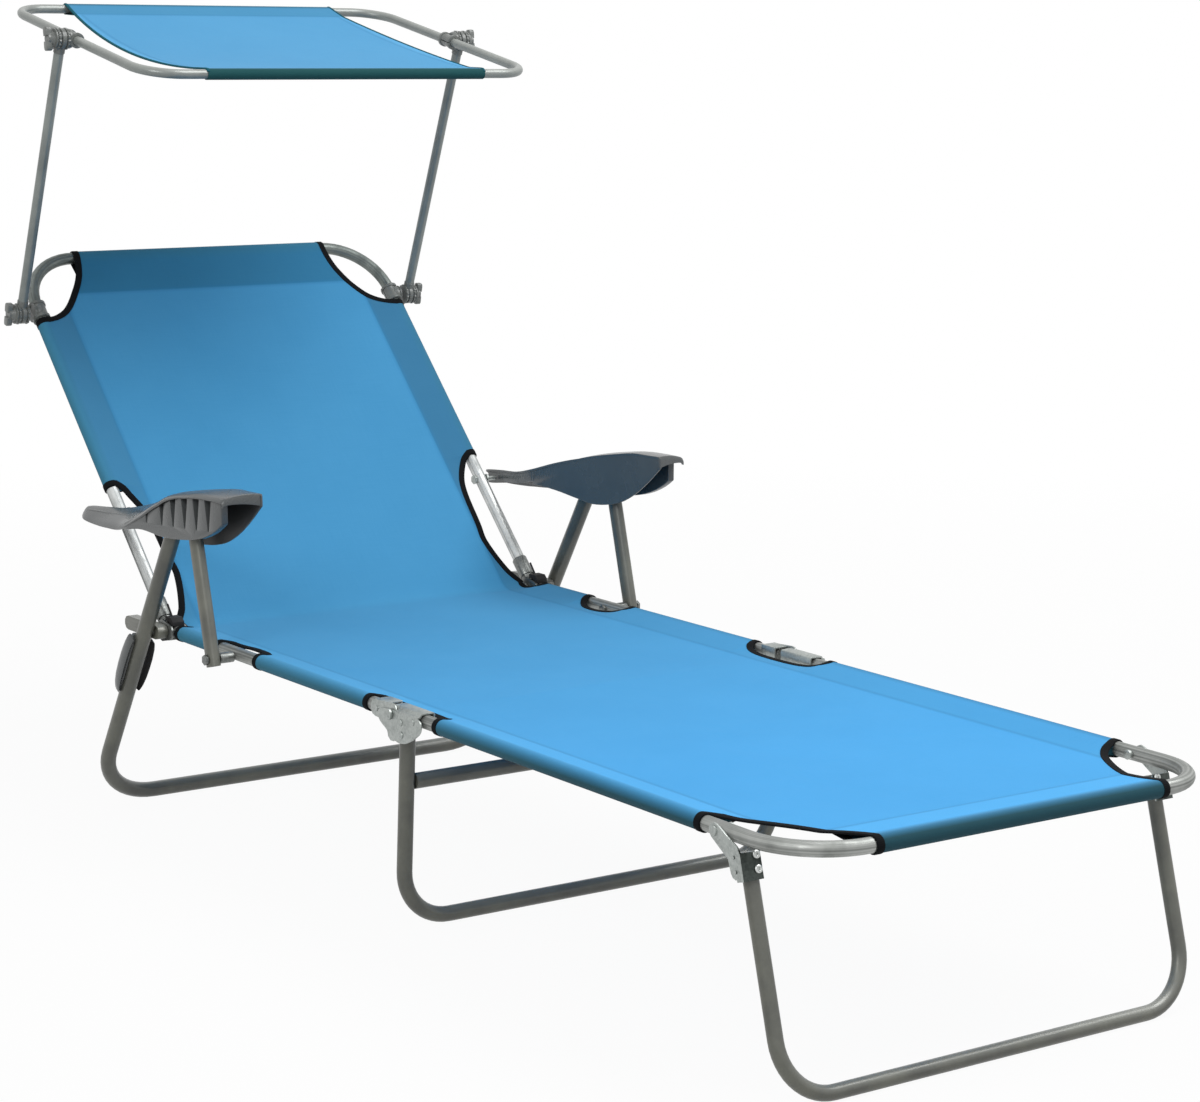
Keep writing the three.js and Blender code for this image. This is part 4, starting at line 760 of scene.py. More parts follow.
def woven_polyester(name, seams, centre, length, low, high, depth, head_hem_shade, under_shading, under_shade):
    """Plain woven polyester, sky blue: threads 1.2 mm apart, twice the real spacing so that they show, with slubs.
    The doubled hems let less light through, and the cloth that turns under round a tube is painted dark teal, as
    painted shade.
    Towards its head end the colour is painted darker, as painted shade, and so is the hem there: the two weights after
    the colours say by how much, from 0 to 1; the first also sets the painted shade on the side hems.
    The pair after them says where round the tube that painted shade begins and where it is full, from where the cloth
    meets the tube."""
    cloth = new_material(name)
    flat = add_node(cloth, 'UVMap', {}, uv_map='cloth_flat')['UV']
    axes = add_node(cloth, 'SeparateXYZ', {'Vector': flat})
    pitch = 0.0012
    blur = 0.001
    waves = [add_node(cloth, 'Math', {0: add_node(cloth, 'Math', {0: axes[axis], 1: math.pi / pitch},
        operation='MULTIPLY')[0]}, operation='SINE')[0] for axis in ('X', 'Y')]
    over = add_node(cloth, 'Math', {0: add_node(cloth, 'Math', {0: waves[0], 1: waves[1]}, operation='MULTIPLY')[0],
        1: 0}, operation='GREATER_THAN')[0]
    ridges = [add_node(cloth, 'Math', {0: wave}, operation='ABSOLUTE')[0] for wave in waves]
    slubs = [add_node(cloth, 'TexNoise', {'Vector': add_node(cloth, 'Mapping',
        {'Vector': flat, 'Scale': stretch})['Vector'], 'Scale': 1, 'Detail': 2})['Fac'] for stretch in ((900, 25, 1),
        (25, 900, 1))]
    weave, slub = (add_node(cloth, 'Mix', {0: over, 2: pair[0], 3: pair[1]}, data_type='FLOAT')[0]
                   for pair in (ridges, slubs))
    # Distance past each seam, from the middle line and from the middle of the length, then past its tube
    (side_seam, side_straight), (end_seam, end_straight) = seams
    hem_at = length / 2 - end_seam
    centred = add_node(cloth, 'Math', {0: axes['Y'], 1: centre * MM}, operation='SUBTRACT')[0]
    past_side = add_node(cloth, 'Math', {0: add_node(cloth, 'Math', {0: axes['X']}, operation='ABSOLUTE')[0],
        1: side_seam * MM}, operation='SUBTRACT')[0]
    past_end = add_node(cloth, 'Math', {0: add_node(cloth, 'Math', {0: centred}, operation='ABSOLUTE')[0],
        1: hem_at * MM}, operation='SUBTRACT')[0]
    under = add_node(cloth, 'Math', {0: add_node(cloth, 'Math', {0: past_side, 1: side_straight * MM},
        operation='SUBTRACT')[0], 1: add_node(cloth, 'Math', {0: past_end, 1: end_straight * MM},
        operation='SUBTRACT')[0]}, operation='MAXIMUM')[0]
    hem = add_node(cloth, 'Math', {0: past_side, 1: past_end}, operation='MAXIMUM')[0]
    shade = add_node(cloth, 'Math', {0: slub, 1: add_node(cloth, 'TexNoise',
        {'Vector': flat, 'Scale': 5, 'Detail': 3, 'Roughness': 0.6})['Fac']}, operation='ADD')[0]
    tone = add_node(cloth, 'Mix', {0: add_node(cloth, 'Math', {0: shade, 1: 0.5}, operation='MULTIPLY')[0],
        6: linear(low), 7: linear(high)}, data_type='RGBA')[2]
    # Painted shade: the colour darkens from the foot towards the head
    painted_falloff = add_node(cloth, 'MapRange', {'Value': centred, 'From Min': -0.6, 'From Max': 0.35, 'To Max': depth})[0]
    tone = add_node(cloth, 'Mix', {0: painted_falloff, 6: tone, 7: linear('F7E7DF')}, data_type='RGBA',
        blend_type='MULTIPLY')[2]
    # Painted shade: the hem at the head end is darkened
    painted_head_hem_shade = add_node(cloth, 'MapRange', {'Value': centred, 'From Min': hem_at * MM - blur,
        'From Max': hem_at * MM + blur, 'To Max': head_hem_shade})[0]
    tone = add_node(cloth, 'Mix', {0: painted_head_hem_shade, 6: tone, 7: linear('A9C8CA')}, data_type='RGBA',
        blend_type='MULTIPLY')[2]
    # Painted shade: doubled cloth along the backrest's sides has no light behind it, so its colour is darkened there
    painted_side_shade = add_node(cloth, 'Math', {0: add_node(cloth, 'MapRange',
        {'Value': past_side, 'From Min': -blur, 'From Max': blur})[0],
        1: add_node(cloth, 'MapRange', {'Value': centred, 'From Min': 0.3, 'From Max': 0.38, 'To Max': depth})[0]},
        operation='MULTIPLY')[0]
    tone = add_node(cloth, 'Mix', {0: painted_side_shade, 6: tone, 7: linear('DFDCDB')}, data_type='RGBA',
        blend_type='MULTIPLY')[2]
    # Painted shade: the hem on the right side is darkened in its colour
    painted_far_hem_shade = add_node(cloth, 'MapRange', {'Value': axes['X'], 'From Min': side_seam * MM - blur,
        'From Max': side_seam * MM + blur, 'To Max': depth})[0]
    tone = add_node(cloth, 'Mix', {0: painted_far_hem_shade, 6: tone, 7: linear('E4E7E8')}, data_type='RGBA',
        blend_type='MULTIPLY')[2]
    tone = add_node(cloth, 'Mix', {0: add_node(cloth, 'MapRange',
        {'Value': add_node(cloth, 'Math', {0: hem}, operation='ABSOLUTE')[0], 'From Min': 0.001, 'From Max': 0.005,
        'To Min': 0.35, 'To Max': 0})[0], 6: tone, 7: linear('2A76A6')}, data_type='RGBA')[2]
    # Painted shade: cloth that turns under round a tube is darkened to a dark teal
    painted_under_shade = add_node(cloth, 'MapRange', {'Value': under, 'From Min': under_shading[0] * MM,
        'From Max': under_shading[1] * MM})[0]
    tone = add_node(cloth, 'Mix', {0: painted_under_shade, 6: tone, 7: add_node(cloth, 'Mix',
        {0: painted_falloff, 6: linear(under_shade), 7: linear('327088')}, data_type='RGBA')[2]}, data_type='RGBA')[2]
    creases = add_node(cloth, 'TexNoise', {'Vector': flat, 'Scale': 9, 'Detail': 3, 'Distortion': 1.2})['Fac']
    bump = add_node(cloth, 'Bump', {'Height': creases, 'Strength': 0.25, 'Distance': 6 * MM,
        'Normal': add_node(cloth, 'Bump', {'Height': weave, 'Strength': 0.3,
        'Distance': 0.2 * MM})['Normal']})['Normal']
    shader = add_node(cloth, 'BsdfPrincipled', {
        'Base Color': tone, 'Roughness': 0.85, 'Specular IOR Level': 0.25, 'Sheen Weight': 0.04, 'Normal': bump})[0]
    glow = add_node(cloth, 'BsdfTranslucent', {'Color': tone, 'Normal': bump})[0]
    through = add_node(cloth, 'MapRange', {'Value': add_node(cloth, 'MapRange',
        {'Value': hem, 'From Min': -blur, 'From Max': blur})[0], 'From Min': 0, 'From Max': 1, 'To Min': 0.16,
        'To Max': 0.05})[0]
    mixed = add_node(cloth, 'MixShader', {0: through, 1: shader, 2: glow})[0]
    add_node(cloth, 'OutputMaterial', {'Surface': mixed})
    return cloth


# Round the end tubes the painted shade under the tube starts 7 mm sooner than round the side tubes
under_shade_end = math.sqrt(END_SEAM**2 - CLOTH_RADIUS**2) - 7
sling = woven_polyester('woven_polyester_sling', ((SIDE_SEAM_X, SIDE_STRAIGHT), (END_SEAM, under_shade_end)),
                        BED_LENGTH / 2, BED_LENGTH, '3995D0', '4FAAE4', 1, 1, (-6, 16), '16434F')
half_outs = (spread(0, SIDE_SEAM_X, 15)[1:] + spread(SIDE_SEAM_X, FLAT_EDGE, 5)[1:]
             + spread(FLAT_EDGE, SIDE_CUT, 2.4)[1:])
bed_outs = [-out for out in reversed(half_outs)] + [0] + half_outs
foot_wrap = spread(END_CUT, 4, 2.6)
head_wrap = [BED_LENGTH - travel for travel in reversed(foot_wrap)]


def bed_rows(low, high):
    """Rows 6 mm apart, and one just beside each sleeve end so that its edge is cut square."""
    rows = set(spread(low, high, 6))
    for sleeve in SLEEVES:
        for end, beside in zip(sleeve, (-0.6, 0.6)):
            if low < end < high:
                rows |= {end, end + beside}
    return sorted(rows)


foot_cloth = woven_sheet('foot_cloth', bed_cloth, bed_outs, foot_wrap[:-1] + bed_rows(4, MEETING_LINE), half_width)
back_cloth = woven_sheet('seat_and_back_cloth', bed_cloth, bed_outs,
                         bed_rows(MEETING_LINE, BED_LENGTH - 4) + head_wrap[1:], half_width)
foot_area, back_area = cloth_area(foot_cloth), cloth_area(back_cloth)
thicken(foot_cloth, CLOTH_THICKNESS)
thicken(back_cloth, CLOTH_THICKNESS)


def ribbed_tape(name, dark, light):
    """Polyester tape or close overlock thread: ribs 0.9 mm apart, dull, with slightly greyer patches at random."""
    tape = new_material(name)
    flat = add_node(tape, 'UVMap', {}, uv_map='cloth_flat')['UV']
    ribs = add_node(tape, 'TexWave', {'Vector': flat, 'Scale': 175, 'Distortion': 0.4}, bands_direction='Y')['Fac']
    shader = add_node(tape, 'BsdfPrincipled', {'Base Color': add_node(tape, 'Mix',
        {0: add_node(tape, 'TexNoise', {'Vector': flat, 'Scale': 120, 'Detail': 4})['Fac'], 6: linear(dark),
        7: linear(light)}, data_type='RGBA')[2], 'Roughness': 0.85, 'Specular IOR Level': 0.1,
        'Normal': add_node(tape, 'Bump', {'Height': ribs, 'Strength': 0.5, 'Distance': 0.3 * MM})['Normal']})
    add_node(tape, 'OutputMaterial', {'Surface': shader[0]})
    return tape


TAPE_HALF = 7.5
TAPE_THICKNESS = 0.7


def taped_edge(name, path, place, half=TAPE_HALF):
    """Tape folded over a cut edge. Path gives flat places with the cloth on its left, place makes them points."""
    points, flats, run = [], [], 0
    clear = CLOTH_THICKNESS / 2 + TAPE_THICKNESS / 2 + 0.05
    section = ((half, clear), (half / 2, clear), (0, clear), (-0.7, clear * 0.6), (-0.9, 0),
               (-0.7, -clear * 0.6), (0, -clear), (half / 2, -clear), (half, -clear))
    for k, flat in enumerate(path):
        before, after = path[max(k - 1, 0)], path[min(k + 1, len(path) - 1)]
        run += (flat - before).length if k else 0
        way = (after - before).normalized()
        for reach, lift in section:
            spot = flat + Vector((-way.y, way.x)) * reach
            points.append(place(spot.x, spot.y, lift))
            flats.append((reach * MM, run * MM))
    tape = sheet_of_rows(name, points, flats, len(section))
    with whole_mesh():
        bpy.ops.mesh.normals_make_consistent()
    bpy.ops.object.shade_smooth()
    thicken(tape, TAPE_THICKNESS)
    return tape


def tape_route(number):
    """The flat path of a cut edge on the right side, with the sleeve ends that it runs into."""
    route = [Vector((min(spot.y, FLAT_EDGE), spot.x)) for spot in EDGE_CURVES[number]]
    fold = [Vector((out, 0)) for out in spread(FLAT_EDGE, SIDE_CUT, 2.4)]
    if number:
        start = SLEEVES[number - 1][1]
        route = [Vector((spot.x, start)) for spot in reversed(fold)] + route
    else:
        route = [spot for spot in route if spot.y > END_CUT]
    if number < len(SLEEVES):
        route += [Vector((spot.x, SLEEVES[number][0])) for spot in fold]
    else:
        route = [spot for spot in route if spot.y < BED_LENGTH - END_CUT]
    return route


black_tape = ribbed_tape('black_bias_tape', '050608', '0E1012')
tapes = {'foot_cloth': [], 'seat_and_back_cloth': []}


def bend_at(piece, hinge_travel, low, high):
    """Lets a piece ride on two bodies, and bend over the hinge between them."""
    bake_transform(piece, low, high, start=bed_cloth(0, hinge_travel - HINGE_BLEND),
             end=bed_cloth(0, hinge_travel + HINGE_BLEND))


for number in range(len(CUT_EDGES)):
    for side, word in SIDES:
        route = tape_route(number)
        if side < 0:
            route = [Vector((-spot.x, spot.y)) for spot in reversed(route)]
        tape = taped_edge(f'edge_tape_{number + 1}_{word}', route, bed_cloth)
        tapes['foot_cloth' if number < 2 else 'seat_and_back_cloth'].append(tape)
        if number in (1, 3):
            tape.data.materials.append(black_tape)
            hinge = (HINGE_Y, 'foot_section', 'seat_base') if number == 1 else (RECLINE_Y, 'seat_base', 'backrest')
            bend_at(tape, *hinge)
            pick()
        else:
            dress(tape, black_tape, {0: 'foot_section', 2: 'seat_base', 4: 'backrest'}[number], 'sling_fabric')

for cloth, area, hinge, nodes, length, rests in (
        (foot_cloth, foot_area, (HINGE_Y, 'foot_section', 'seat_base'), ['foot_fabric'],
         MEETING_LINE, ['foot_frame_tube']),
        (back_cloth, back_area, (RECLINE_Y, 'seat_base', 'backrest'), ['seat_fabric', 'backrest_fabric'],
         BED_LENGTH - MEETING_LINE, ['seat_rail_left_tube', 'backrest_frame_tube'])):
    cloth.data.materials.append(sling)
    bend_at(cloth, *hinge)
    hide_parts(*nodes)
pick()


# Armrests
# Each is one moulding of grey polypropylene: a curved skin with a deep inner wall, a ribbed block on its outer
# side, and a narrow paddle behind that slides on the backrest. It turns on a bolt through the rear leg's top.

# Stations are shares of the reach: -1 at the front, 0 at the pivot and 1 at the paddle's end. At each station are
# heights over the pivot, then distances from the lounger's middle.
ARM_STATIONS = (-1, -0.84, -0.68, -0.49, -0.2, 0, 0.23, 0.45, 0.64, 0.82, 0.95, 1)
ARM_INNER_TOP = (59, 58, 57, 52, 43, 35, 22, 7, -3, -7, -10, -12)
ARM_OUTER_TOP = (53, 53, 52, 49, 41, 29, 4, -17, -22, -25, -25, -23)
ARM_BOTTOM = (44, 21, 2, -13, -22, -20, -15, -14, -19, -25, -29, -29)
ARM_BLOCK_BOTTOM = (44, 20, 5, -5, -12, -14, -13, -21, -21, -21, -21, -21)
ARM_INNER_FACE = (289, 289, 289, 289, 289, 289, 289, 289, 296, 302, 303, 305)
ARM_OUTER_EDGE = (337, 338, 338, 338, 336, 335, 333, 331, 327, 322, 319, 314)
ARM_REACH = (180, 250)
ARM_CROWN = 2.5
ARM_LIP = (13, 5)
# The skin's outer edge rolls down by this much, from this share of its width on
ARM_ROLL = 2.5
ROLL_FROM = 0.86
ARM_SKIN = 3


def along_arm(values, share):
    """A smooth value between the armrest's stations, at a share of its reach."""
    for k in range(len(ARM_STATIONS) - 1):
        low, high = ARM_STATIONS[k], ARM_STATIONS[k + 1]
        if share <= high:
            break
    slopes = []
    for j in (k, k + 1):
        before, after = max(j - 1, 0), min(j + 1, len(values) - 1)
        slopes.append((values[after] - values[before]) / (ARM_STATIONS[after] - ARM_STATIONS[before]) * (high - low))
    return eased(values[k], slopes[0], values[k + 1], slopes[1], (share - low) / (high - low))


def arm_y(share, across=0):
    return ARM_PIVOT[0] + share * ARM_REACH[share > 0] + (12 * across * -share if share < 0 else 0)


def arm_top(share, across):
    inner, outer = along_arm(ARM_INNER_TOP, share), along_arm(ARM_OUTER_TOP, share)
    return ARM_PIVOT[1] + inner + (outer - inner) * across + 4 * ARM_CROWN * across * (1 - across)


def arm_x(share, across):
    inner, outer = along_arm(ARM_INNER_FACE, share), along_arm(ARM_OUTER_EDGE, share)
    return inner + (outer - inner) * across


def drawn_out(name, outline, way):
    """A flat disc shaped to an outline, then extruded."""
    pick()
    bpy.ops.mesh.primitive_circle_add(vertices=len(outline), radius=MM, fill_type='NGON')
    piece = bpy.context.object
    piece.name = name
    for vertex, spot in zip(piece.data.vertices, outline):
        vertex.co = spot
    with whole_mesh():
        bpy.ops.mesh.extrude_region_move(TRANSFORM_OT_translate={'value': way})
        bpy.ops.mesh.select_all(action='SELECT')
        bpy.ops.mesh.normals_make_consistent()
    return piece


def upright_plate(name, outline, inner_x, outer_x, bevel=1.0):
    """A plate with rounded edges, from its outline in the side view."""
    piece = drawn_out(name, [at(inner_x, y, z) for y, z in outline], ((outer_x - inner_x) * MM, 0, 0))
    if bevel:
        bevel_edges(piece, bevel)
    smooth(40)
    return piece


def turned(name, centre_y, centre_z, start_x, profile, sides=64):
    """A circle drawn out across the lounger and resized step by step, as if turned on a lathe."""
    centre = at(start_x, centre_y, centre_z)
    pick()
    (first, begin), rest = profile[0], profile[1:]
    bpy.ops.mesh.primitive_circle_add(vertices=sides, radius=first * MM, enter_editmode=True, fill_type='NGON',
                                      location=centre + Vector((begin * MM, 0, 0)), rotation=(0, math.pi / 2, 0))
    bpy.ops.mesh.select_all(action='SELECT')
    radius, place = first, begin
    for next_radius, next_place in rest:
        bpy.ops.mesh.extrude_region_move(TRANSFORM_OT_translate={'value': ((next_place - place) * MM, 0, 0)})
        grow = next_radius / radius
        bpy.ops.transform.resize(value=(1, grow, grow), center_override=centre)
        radius, place = next_radius, next_place
    bpy.ops.mesh.select_all(action='SELECT')
    bpy.ops.mesh.normals_make_consistent()
    bpy.ops.object.mode_set(mode='OBJECT')
    bpy.ops.object.transform_apply()
    piece = bpy.context.object
    piece.name = name
    return piece


def join_pieces(name, pieces):
    pick(*pieces)
    bpy.ops.object.join()
    pieces[0].name = name
    return pieces[0]


def rolled_down(across):
    return ARM_ROLL * (max(across - ROLL_FROM, 0) / (1 - ROLL_FROM)) ** 2


def arm_skin():
    """The curved top, as a grid shaped to the stations, with its front edge turned down and its outer one rolled."""
    stations, steps, lip_rows = 66, 16, 6
    pick()
    bpy.ops.mesh.primitive_grid_add(x_subdivisions=steps, y_subdivisions=stations, size=1)
    skin = bpy.context.object
    for vertex in skin.data.vertices:
        across, row = vertex.co.x + 0.5, round((vertex.co.y + 0.5) * stations)
        turn_down = max(lip_rows - row, 0) / lip_rows
        share = -1 + 2 * max(row - lip_rows, 0) / (stations - lip_rows)
        drop = rolled_down(across) * min(1, (1 - share) * 3)
        drop += turn_down * (ARM_LIP[0] + (ARM_LIP[1] - ARM_LIP[0]) * across)
        back = ARM_SKIN * (1 - turn_down) ** 3 if row < lip_rows + 1 else 0
        vertex.co = at(arm_x(share, min(across, 0.98)), arm_y(share, across) + ARM_SKIN / 2 + back * 0.4,
                       arm_top(share, across) - ARM_SKIN / 2 - drop)
    solidify = skin.modifiers.new('thickness', 'SOLIDIFY')
    solidify.thickness = ARM_SKIN * MM
    solidify.offset = 0
    bpy.ops.object.modifier_apply(modifier=solidify.name)
    bevel_edges(skin, 1.0, angle=50)
    smooth(50)
    return skin


def arm_wall(name, low, high, inner_x, outer_x, bottoms=ARM_BOTTOM, bevel=0.8, count=26):
    """An upright wall under the skin between two shares of the reach."""
    shares = spread(low, high, (high - low) / count)
    middle = (inner_x + outer_x) / 2

    def crown(share):
        across = min(max((middle - arm_x(share, 0)) / (arm_x(share, 1) - arm_x(share, 0)), 0), 1)
        return arm_top(share, across) - ARM_SKIN / 2 - rolled_down(across)
    outline = [(arm_y(share), crown(share)) for share in shares]
    outline += [(arm_y(share), min(ARM_PIVOT[1] + along_arm(bottoms, share), crown(share) - 1.5))
                for share in reversed(shares)]
    return upright_plate(name, outline, inner_x, outer_x, bevel)


def inner_rim(low, high, count=14):
    """A thin wall that follows the skin's inner edge along the paddle."""
    rings = []
    for share in spread(low, high, (high - low) / count):
        inner, top = arm_x(share, 0), arm_top(share, 0) - ARM_SKIN / 2
        foot = max(ARM_PIVOT[1] + along_arm(ARM_BOTTOM, share), top - 15)
        rings.append([at(x, arm_y(share), z) for x, z in (
            (inner + 0.4, top), (inner + 2.4, top), (inner + 2.4, foot), (inner + 0.4, foot))])
    rim = lofted('inner_rim', rings)
    bevel_edges(rim, 0.5, segments=2)
    smooth(40)
    return rim


# The walls under the skin: their places across the lounger, measured from its middle
INNER_WALL = (289.3, 292)
OUTER_BLOCK = (321.5, 331)
PADDLE = (302.3, 312.6)
skin = arm_skin()
inner_wall = arm_wall('inner_wall', -1, 0.45, *INNER_WALL)
outer_block = arm_wall('outer_block', -0.86, 0.4, *OUTER_BLOCK, ARM_BLOCK_BOTTOM, bevel=1.2)
paddle = arm_wall('paddle', 0.42, 0.97, *PADDLE, bevel=1.5, count=14)
# Six pockets taper down between ribs; their rear parts open towards the skin
slots = []
for k in range(6):
    middle = arm_y(-0.68 + 0.83 * k / 5)
    tip = ARM_PIVOT[1] + 9 - 11 * k / 5
    slots.append(upright_plate('slot_cutter', [(middle - 7, tip + 38), (middle - 1.2, tip + 1), (middle + 0.4, tip),
                                               (middle + 2, tip + 1), (middle + 10, tip + 38)], 323, 336, bevel=0))
carve(outer_block, slots)
bevel_edges(outer_block, 0.5, segments=2)
arm = join_pieces('armrest', [skin, inner_wall, outer_block, paddle, inner_rim(0.43, 0.97)])
arms = dress_pair(arm, 'moulding', grey_plastic, '{side}_armrest', 'grey_plastic', 'armrest')
# Painted shade: the hollow between the walls gets a darker, rougher copy of the plastic
painted_shade_plastic = moulded_polypropylene('moulded_polypropylene_painted_shade', '1C1E20', '2A2D2F', 0.5)
for side, piece in zip((1, -1), arms):
    shade_faces(piece, painted_shade_plastic, lambda face: (
        face.normal.x * side > 0.5 and abs(face.center.x) < (INNER_WALL[1] + 1.5) * MM
        or face.normal.z < -0.4 and INNER_WALL[1] * MM < abs(face.center.x) < (OUTER_BLOCK[0] - 0.5) * MM))


# Folding brackets of the foot section
# Each is one pressing of galvanised sheet: a channel over the tube with a folded ledge, whose outer side runs down
# as a D-shaped plate. Three domed rivets hold it, and it turns on the seat bracket's rivet.

# Outline and rivets of the D-shaped plate, as shares of its reach from the pivot
HINGE_PLATE = ((0.39, 0.02), (0.24, 0.14), (-0.2, 0.17), (-0.8, 0.17), (-0.97, 0.06), (-1, -0.23), (-0.91, -0.47),
               (-0.55, -0.9), (-0.28, -1), (-0.09, -0.9), (0.16, -0.6), (0.34, -0.4), (0.42, -0.14), (0.39, 0.02))
HINGE_RIVETS = ((-0.34, -0.2), (-0.73, -0.03), (-0.36, -0.67))
HINGE_REACH = (64, 30)
# Sections in the end view: the channel over the tube, and the tongue that its top goes on as
WEB = ((264.7, 249), (264.7, 262.8), (265.6, 264.6), (267.4, 265.4))
WEB_INSIDE = ((268.4, 263.4), (267, 262.6), (266.7, 261.4), (266.7, 249))
CHANNEL = (*WEB, (281.5, 265.4), (283.2, 264.6), (284.2, 262.6), (285.4, 261.8), (287.2, 261.6), (287.9, 260.8),
           (287.3, 258), (287.3, 251), (285.9, 251), (285.9, 259.2), (284.4, 259.8), (282.6, 261), (281.4, 262.8),
           (280.4, 263.4), *WEB_INSIDE)
TONGUE = (*WEB, (281, 265.4), (282.9, 264.4), (282.9, 263.4), *WEB_INSIDE)


def drawn_section(name, section, low_y, high_y):
    """A bar along the lounger, from its section in the end view."""
    return drawn_out(name, [at(x, low_y, z) for x, z in section], (0, (high_y - low_y) * MM, 0))


def hinge_place(share_y, share_z):
    return HINGE_Y + HINGE_REACH[0] * share_y, BED_HEIGHT + HINGE_REACH[1] * share_z


plate_outline = [hinge_place(*spot) for spot in smooth_path(HINGE_PLATE, step=0.06)[:-1]]
hinge_plate = upright_plate('hinge_plate', plate_outline, 285.6, 287.6, bevel=0.5)
carve(hinge_plate, [bent_tube('rivet_hole', [at(x, HINGE_Y, BED_HEIGHT) for x in (284, 289)], 4.3)])
channel = drawn_section('channel', CHANNEL, HINGE_Y - 58, HINGE_Y - 12.6)
bevel_edges(channel, 0.4, segments=2, angle=50)
tongue = drawn_section('tongue', TONGUE, HINGE_Y - 14, HINGE_Y - 1.8)
carve(channel, [tongue], 'UNION')
RIVET_PROFILE = ((4.2, 0), (4.2, 0.9), (3.3, 1.8), (1.5, 2.2))
heads = [turned('rivet_head', *hinge_place(*spot), 287.4, RIVET_PROFILE, sides=20) for spot in HINGE_RIVETS]
bracket = join_pieces('bracket', [hinge_plate, channel] + heads)
smooth(35)
dress_pair(bracket, 'pressing', sheet_steel, 'foot_section', 'zinc_steel', 'mid_bracket_foot')


# Canopy hoop and struts
# One closed hoop of 12 mm tube and two 13 mm struts, powder coated like the legs.

ROOF_FRONT = (1279.4, 945)
ROOF_ANGLE = math.radians(11.2)
ROOF_DEPTH = 406.4
HOOP = {'x': 284, 'radius': 6, 'bend': 50}
STRUT = {'x': 301, 'radius': 6.5, 'foot_travel': 519, 'top_share': 0.52, 'inset': 13}


def on_roof(x, travel, rise=0):
    """A place on the canopy: across, back along it from its front tube, and square off its plane."""
    return at(x, ROOF_FRONT[0] + travel * math.cos(ROOF_ANGLE) - rise * math.sin(ROOF_ANGLE),
              ROOF_FRONT[1] + travel * math.sin(ROOF_ANGLE) + rise * math.cos(ROOF_ANGLE))


hoop_corners = [on_roof(x, travel) for x, travel in (
    (-0.15, 0), (-HOOP['x'], 0), (-HOOP['x'], ROOF_DEPTH), (HOOP['x'], ROOF_DEPTH), (HOOP['x'], 0), (0.15, 0))]
hoop = bent_tube('canopy_hoop_tube', hoop_corners, HOOP['radius'], HOOP['bend'])
canopy_coat = powder_coated_steel('powder_coated_silver_steel', '6E7371', '848986', 0.28)
dress(hoop, canopy_coat, 'canopy', 'grey_tube', 'canopy_frame')
for side, word in SIDES:
    foot = on_back(side * STRUT['x'], STRUT['foot_travel'])
    top = on_roof(side * STRUT['x'], ROOF_DEPTH * STRUT['top_share'])
    way = (top - foot).normalized() * STRUT['inset'] * MM
    strut = bent_tube(f'canopy_strut_{word}_tube', [foot + way, top - way], STRUT['radius'])
    dress(strut, canopy_coat, f'{word}_strut', 'grey_tube', f'canopy_strut_{word}')


# Clamps and wing knobs
# Each end of a strut turns in a clamp of light grey polypropylene: a split jaw round the tube, a hub between
# toothed flanges, and a wing knob on the stud that presses them together.

light_plastic = moulded_polypropylene('moulded_light_grey_polypropylene', '525553', '727572', 0.3)
# Profiles are given as radius, then distance outwards
NECK_PROFILE = ((10.5, 8), (11.5, 9), (12.6, 12), (12.6, 14.6), (11.2, 15.4), (11.2, 16.6), (12.6, 17.2),
                (12.6, 18.4))
HUB_PROFILE = ((12, 0), (14, 0.5), (14, 3), (11.4, 3.6), (11.4, 5), (13.4, 5.6), (13.4, 10.4), (11.4, 11),
               (11.4, 12.4), (14, 13), (14, 15.5), (12, 16))
JAW_HALF, JAW_WALL, JAW_COLLAR = 13, 2.6, 1.4
KNOB_PROFILE = ((11.5, 0), (13, 0.6), (13, 2.4), (9.5, 3.2), (7, 8), (7, 11))
HUB_X = STRUT['x'] - 8
HUB_COLLAR = {'radius': 7.4, 'end': 19, 'socket_from': 12.7}
TOOTH_DEPTH = 1.1
# Out from the hub's inner face: the knob, its bar's two sides, and the notch in the outer one
KNOB_FROM, BAR_FROM, BAR_TO, NOTCH_FROM = 16.3, 22, 30, 27.2
BAR_HALF_HEIGHT = 15.5


def cut_teeth(piece, centre_y, centre_z, from_radius):
    """Draws every other pair of points on the widest flanges in, for teeth round them."""
    middle = at(0, centre_y, centre_z)
    for vertex in piece.data.vertices:
        arm = Vector((0, vertex.co.y - middle.y, vertex.co.z - middle.z))
        if arm.length > from_radius * MM and round(math.atan2(arm.z, arm.y) / math.tau * 64) % 4 < 2:
            vertex.co -= arm.normalized() * TOOTH_DEPTH * MM


def clamp_jaw(name, centre_y, centre_z, tube_x, tube_radius, tube_way):
    """A split sleeve round the tube with two collars and grooved sides, and a neck out to the hub."""
    middle = at(tube_x, centre_y, centre_z)
    half = tube_way * JAW_HALF * MM
    jaw = bent_tube(name, [middle - half, middle + half], tube_radius + JAW_WALL)
    collars = [bent_tube('collar', [middle + half * end, middle + half * (end - math.copysign(0.3, end))],
                         tube_radius + JAW_WALL + JAW_COLLAR) for end in (-0.98, 0.98)]
    neck = turned('neck', centre_y, centre_z, tube_x - tube_radius, NECK_PROFILE)
    carve(jaw, collars + [neck], 'UNION')
    bore = bent_tube('bore', [middle - tube_way * 0.03, middle + tube_way * 0.03], tube_radius + 0.3)
    square = Vector((0, -tube_way.z, tube_way.y))
    split = slot_cutter(middle - Vector((0.02, 0, 0)), tube_way * 0.03, square)
    carve(jaw, [bore, split])
    bevel_edges(jaw, 0.4, segments=2, angle=40)
    smooth(40)
    return jaw


def slot_cutter(place, way, square, gap=1.4):
    """A flat cutter along a tube, that opens a sleeve on its inner side."""
    half = square * gap * MM / 2
    corners = [place - way - half, place + way - half, place + way + half, place - way + half]
    return drawn_out('slot', corners, (0.02, 0, 0))


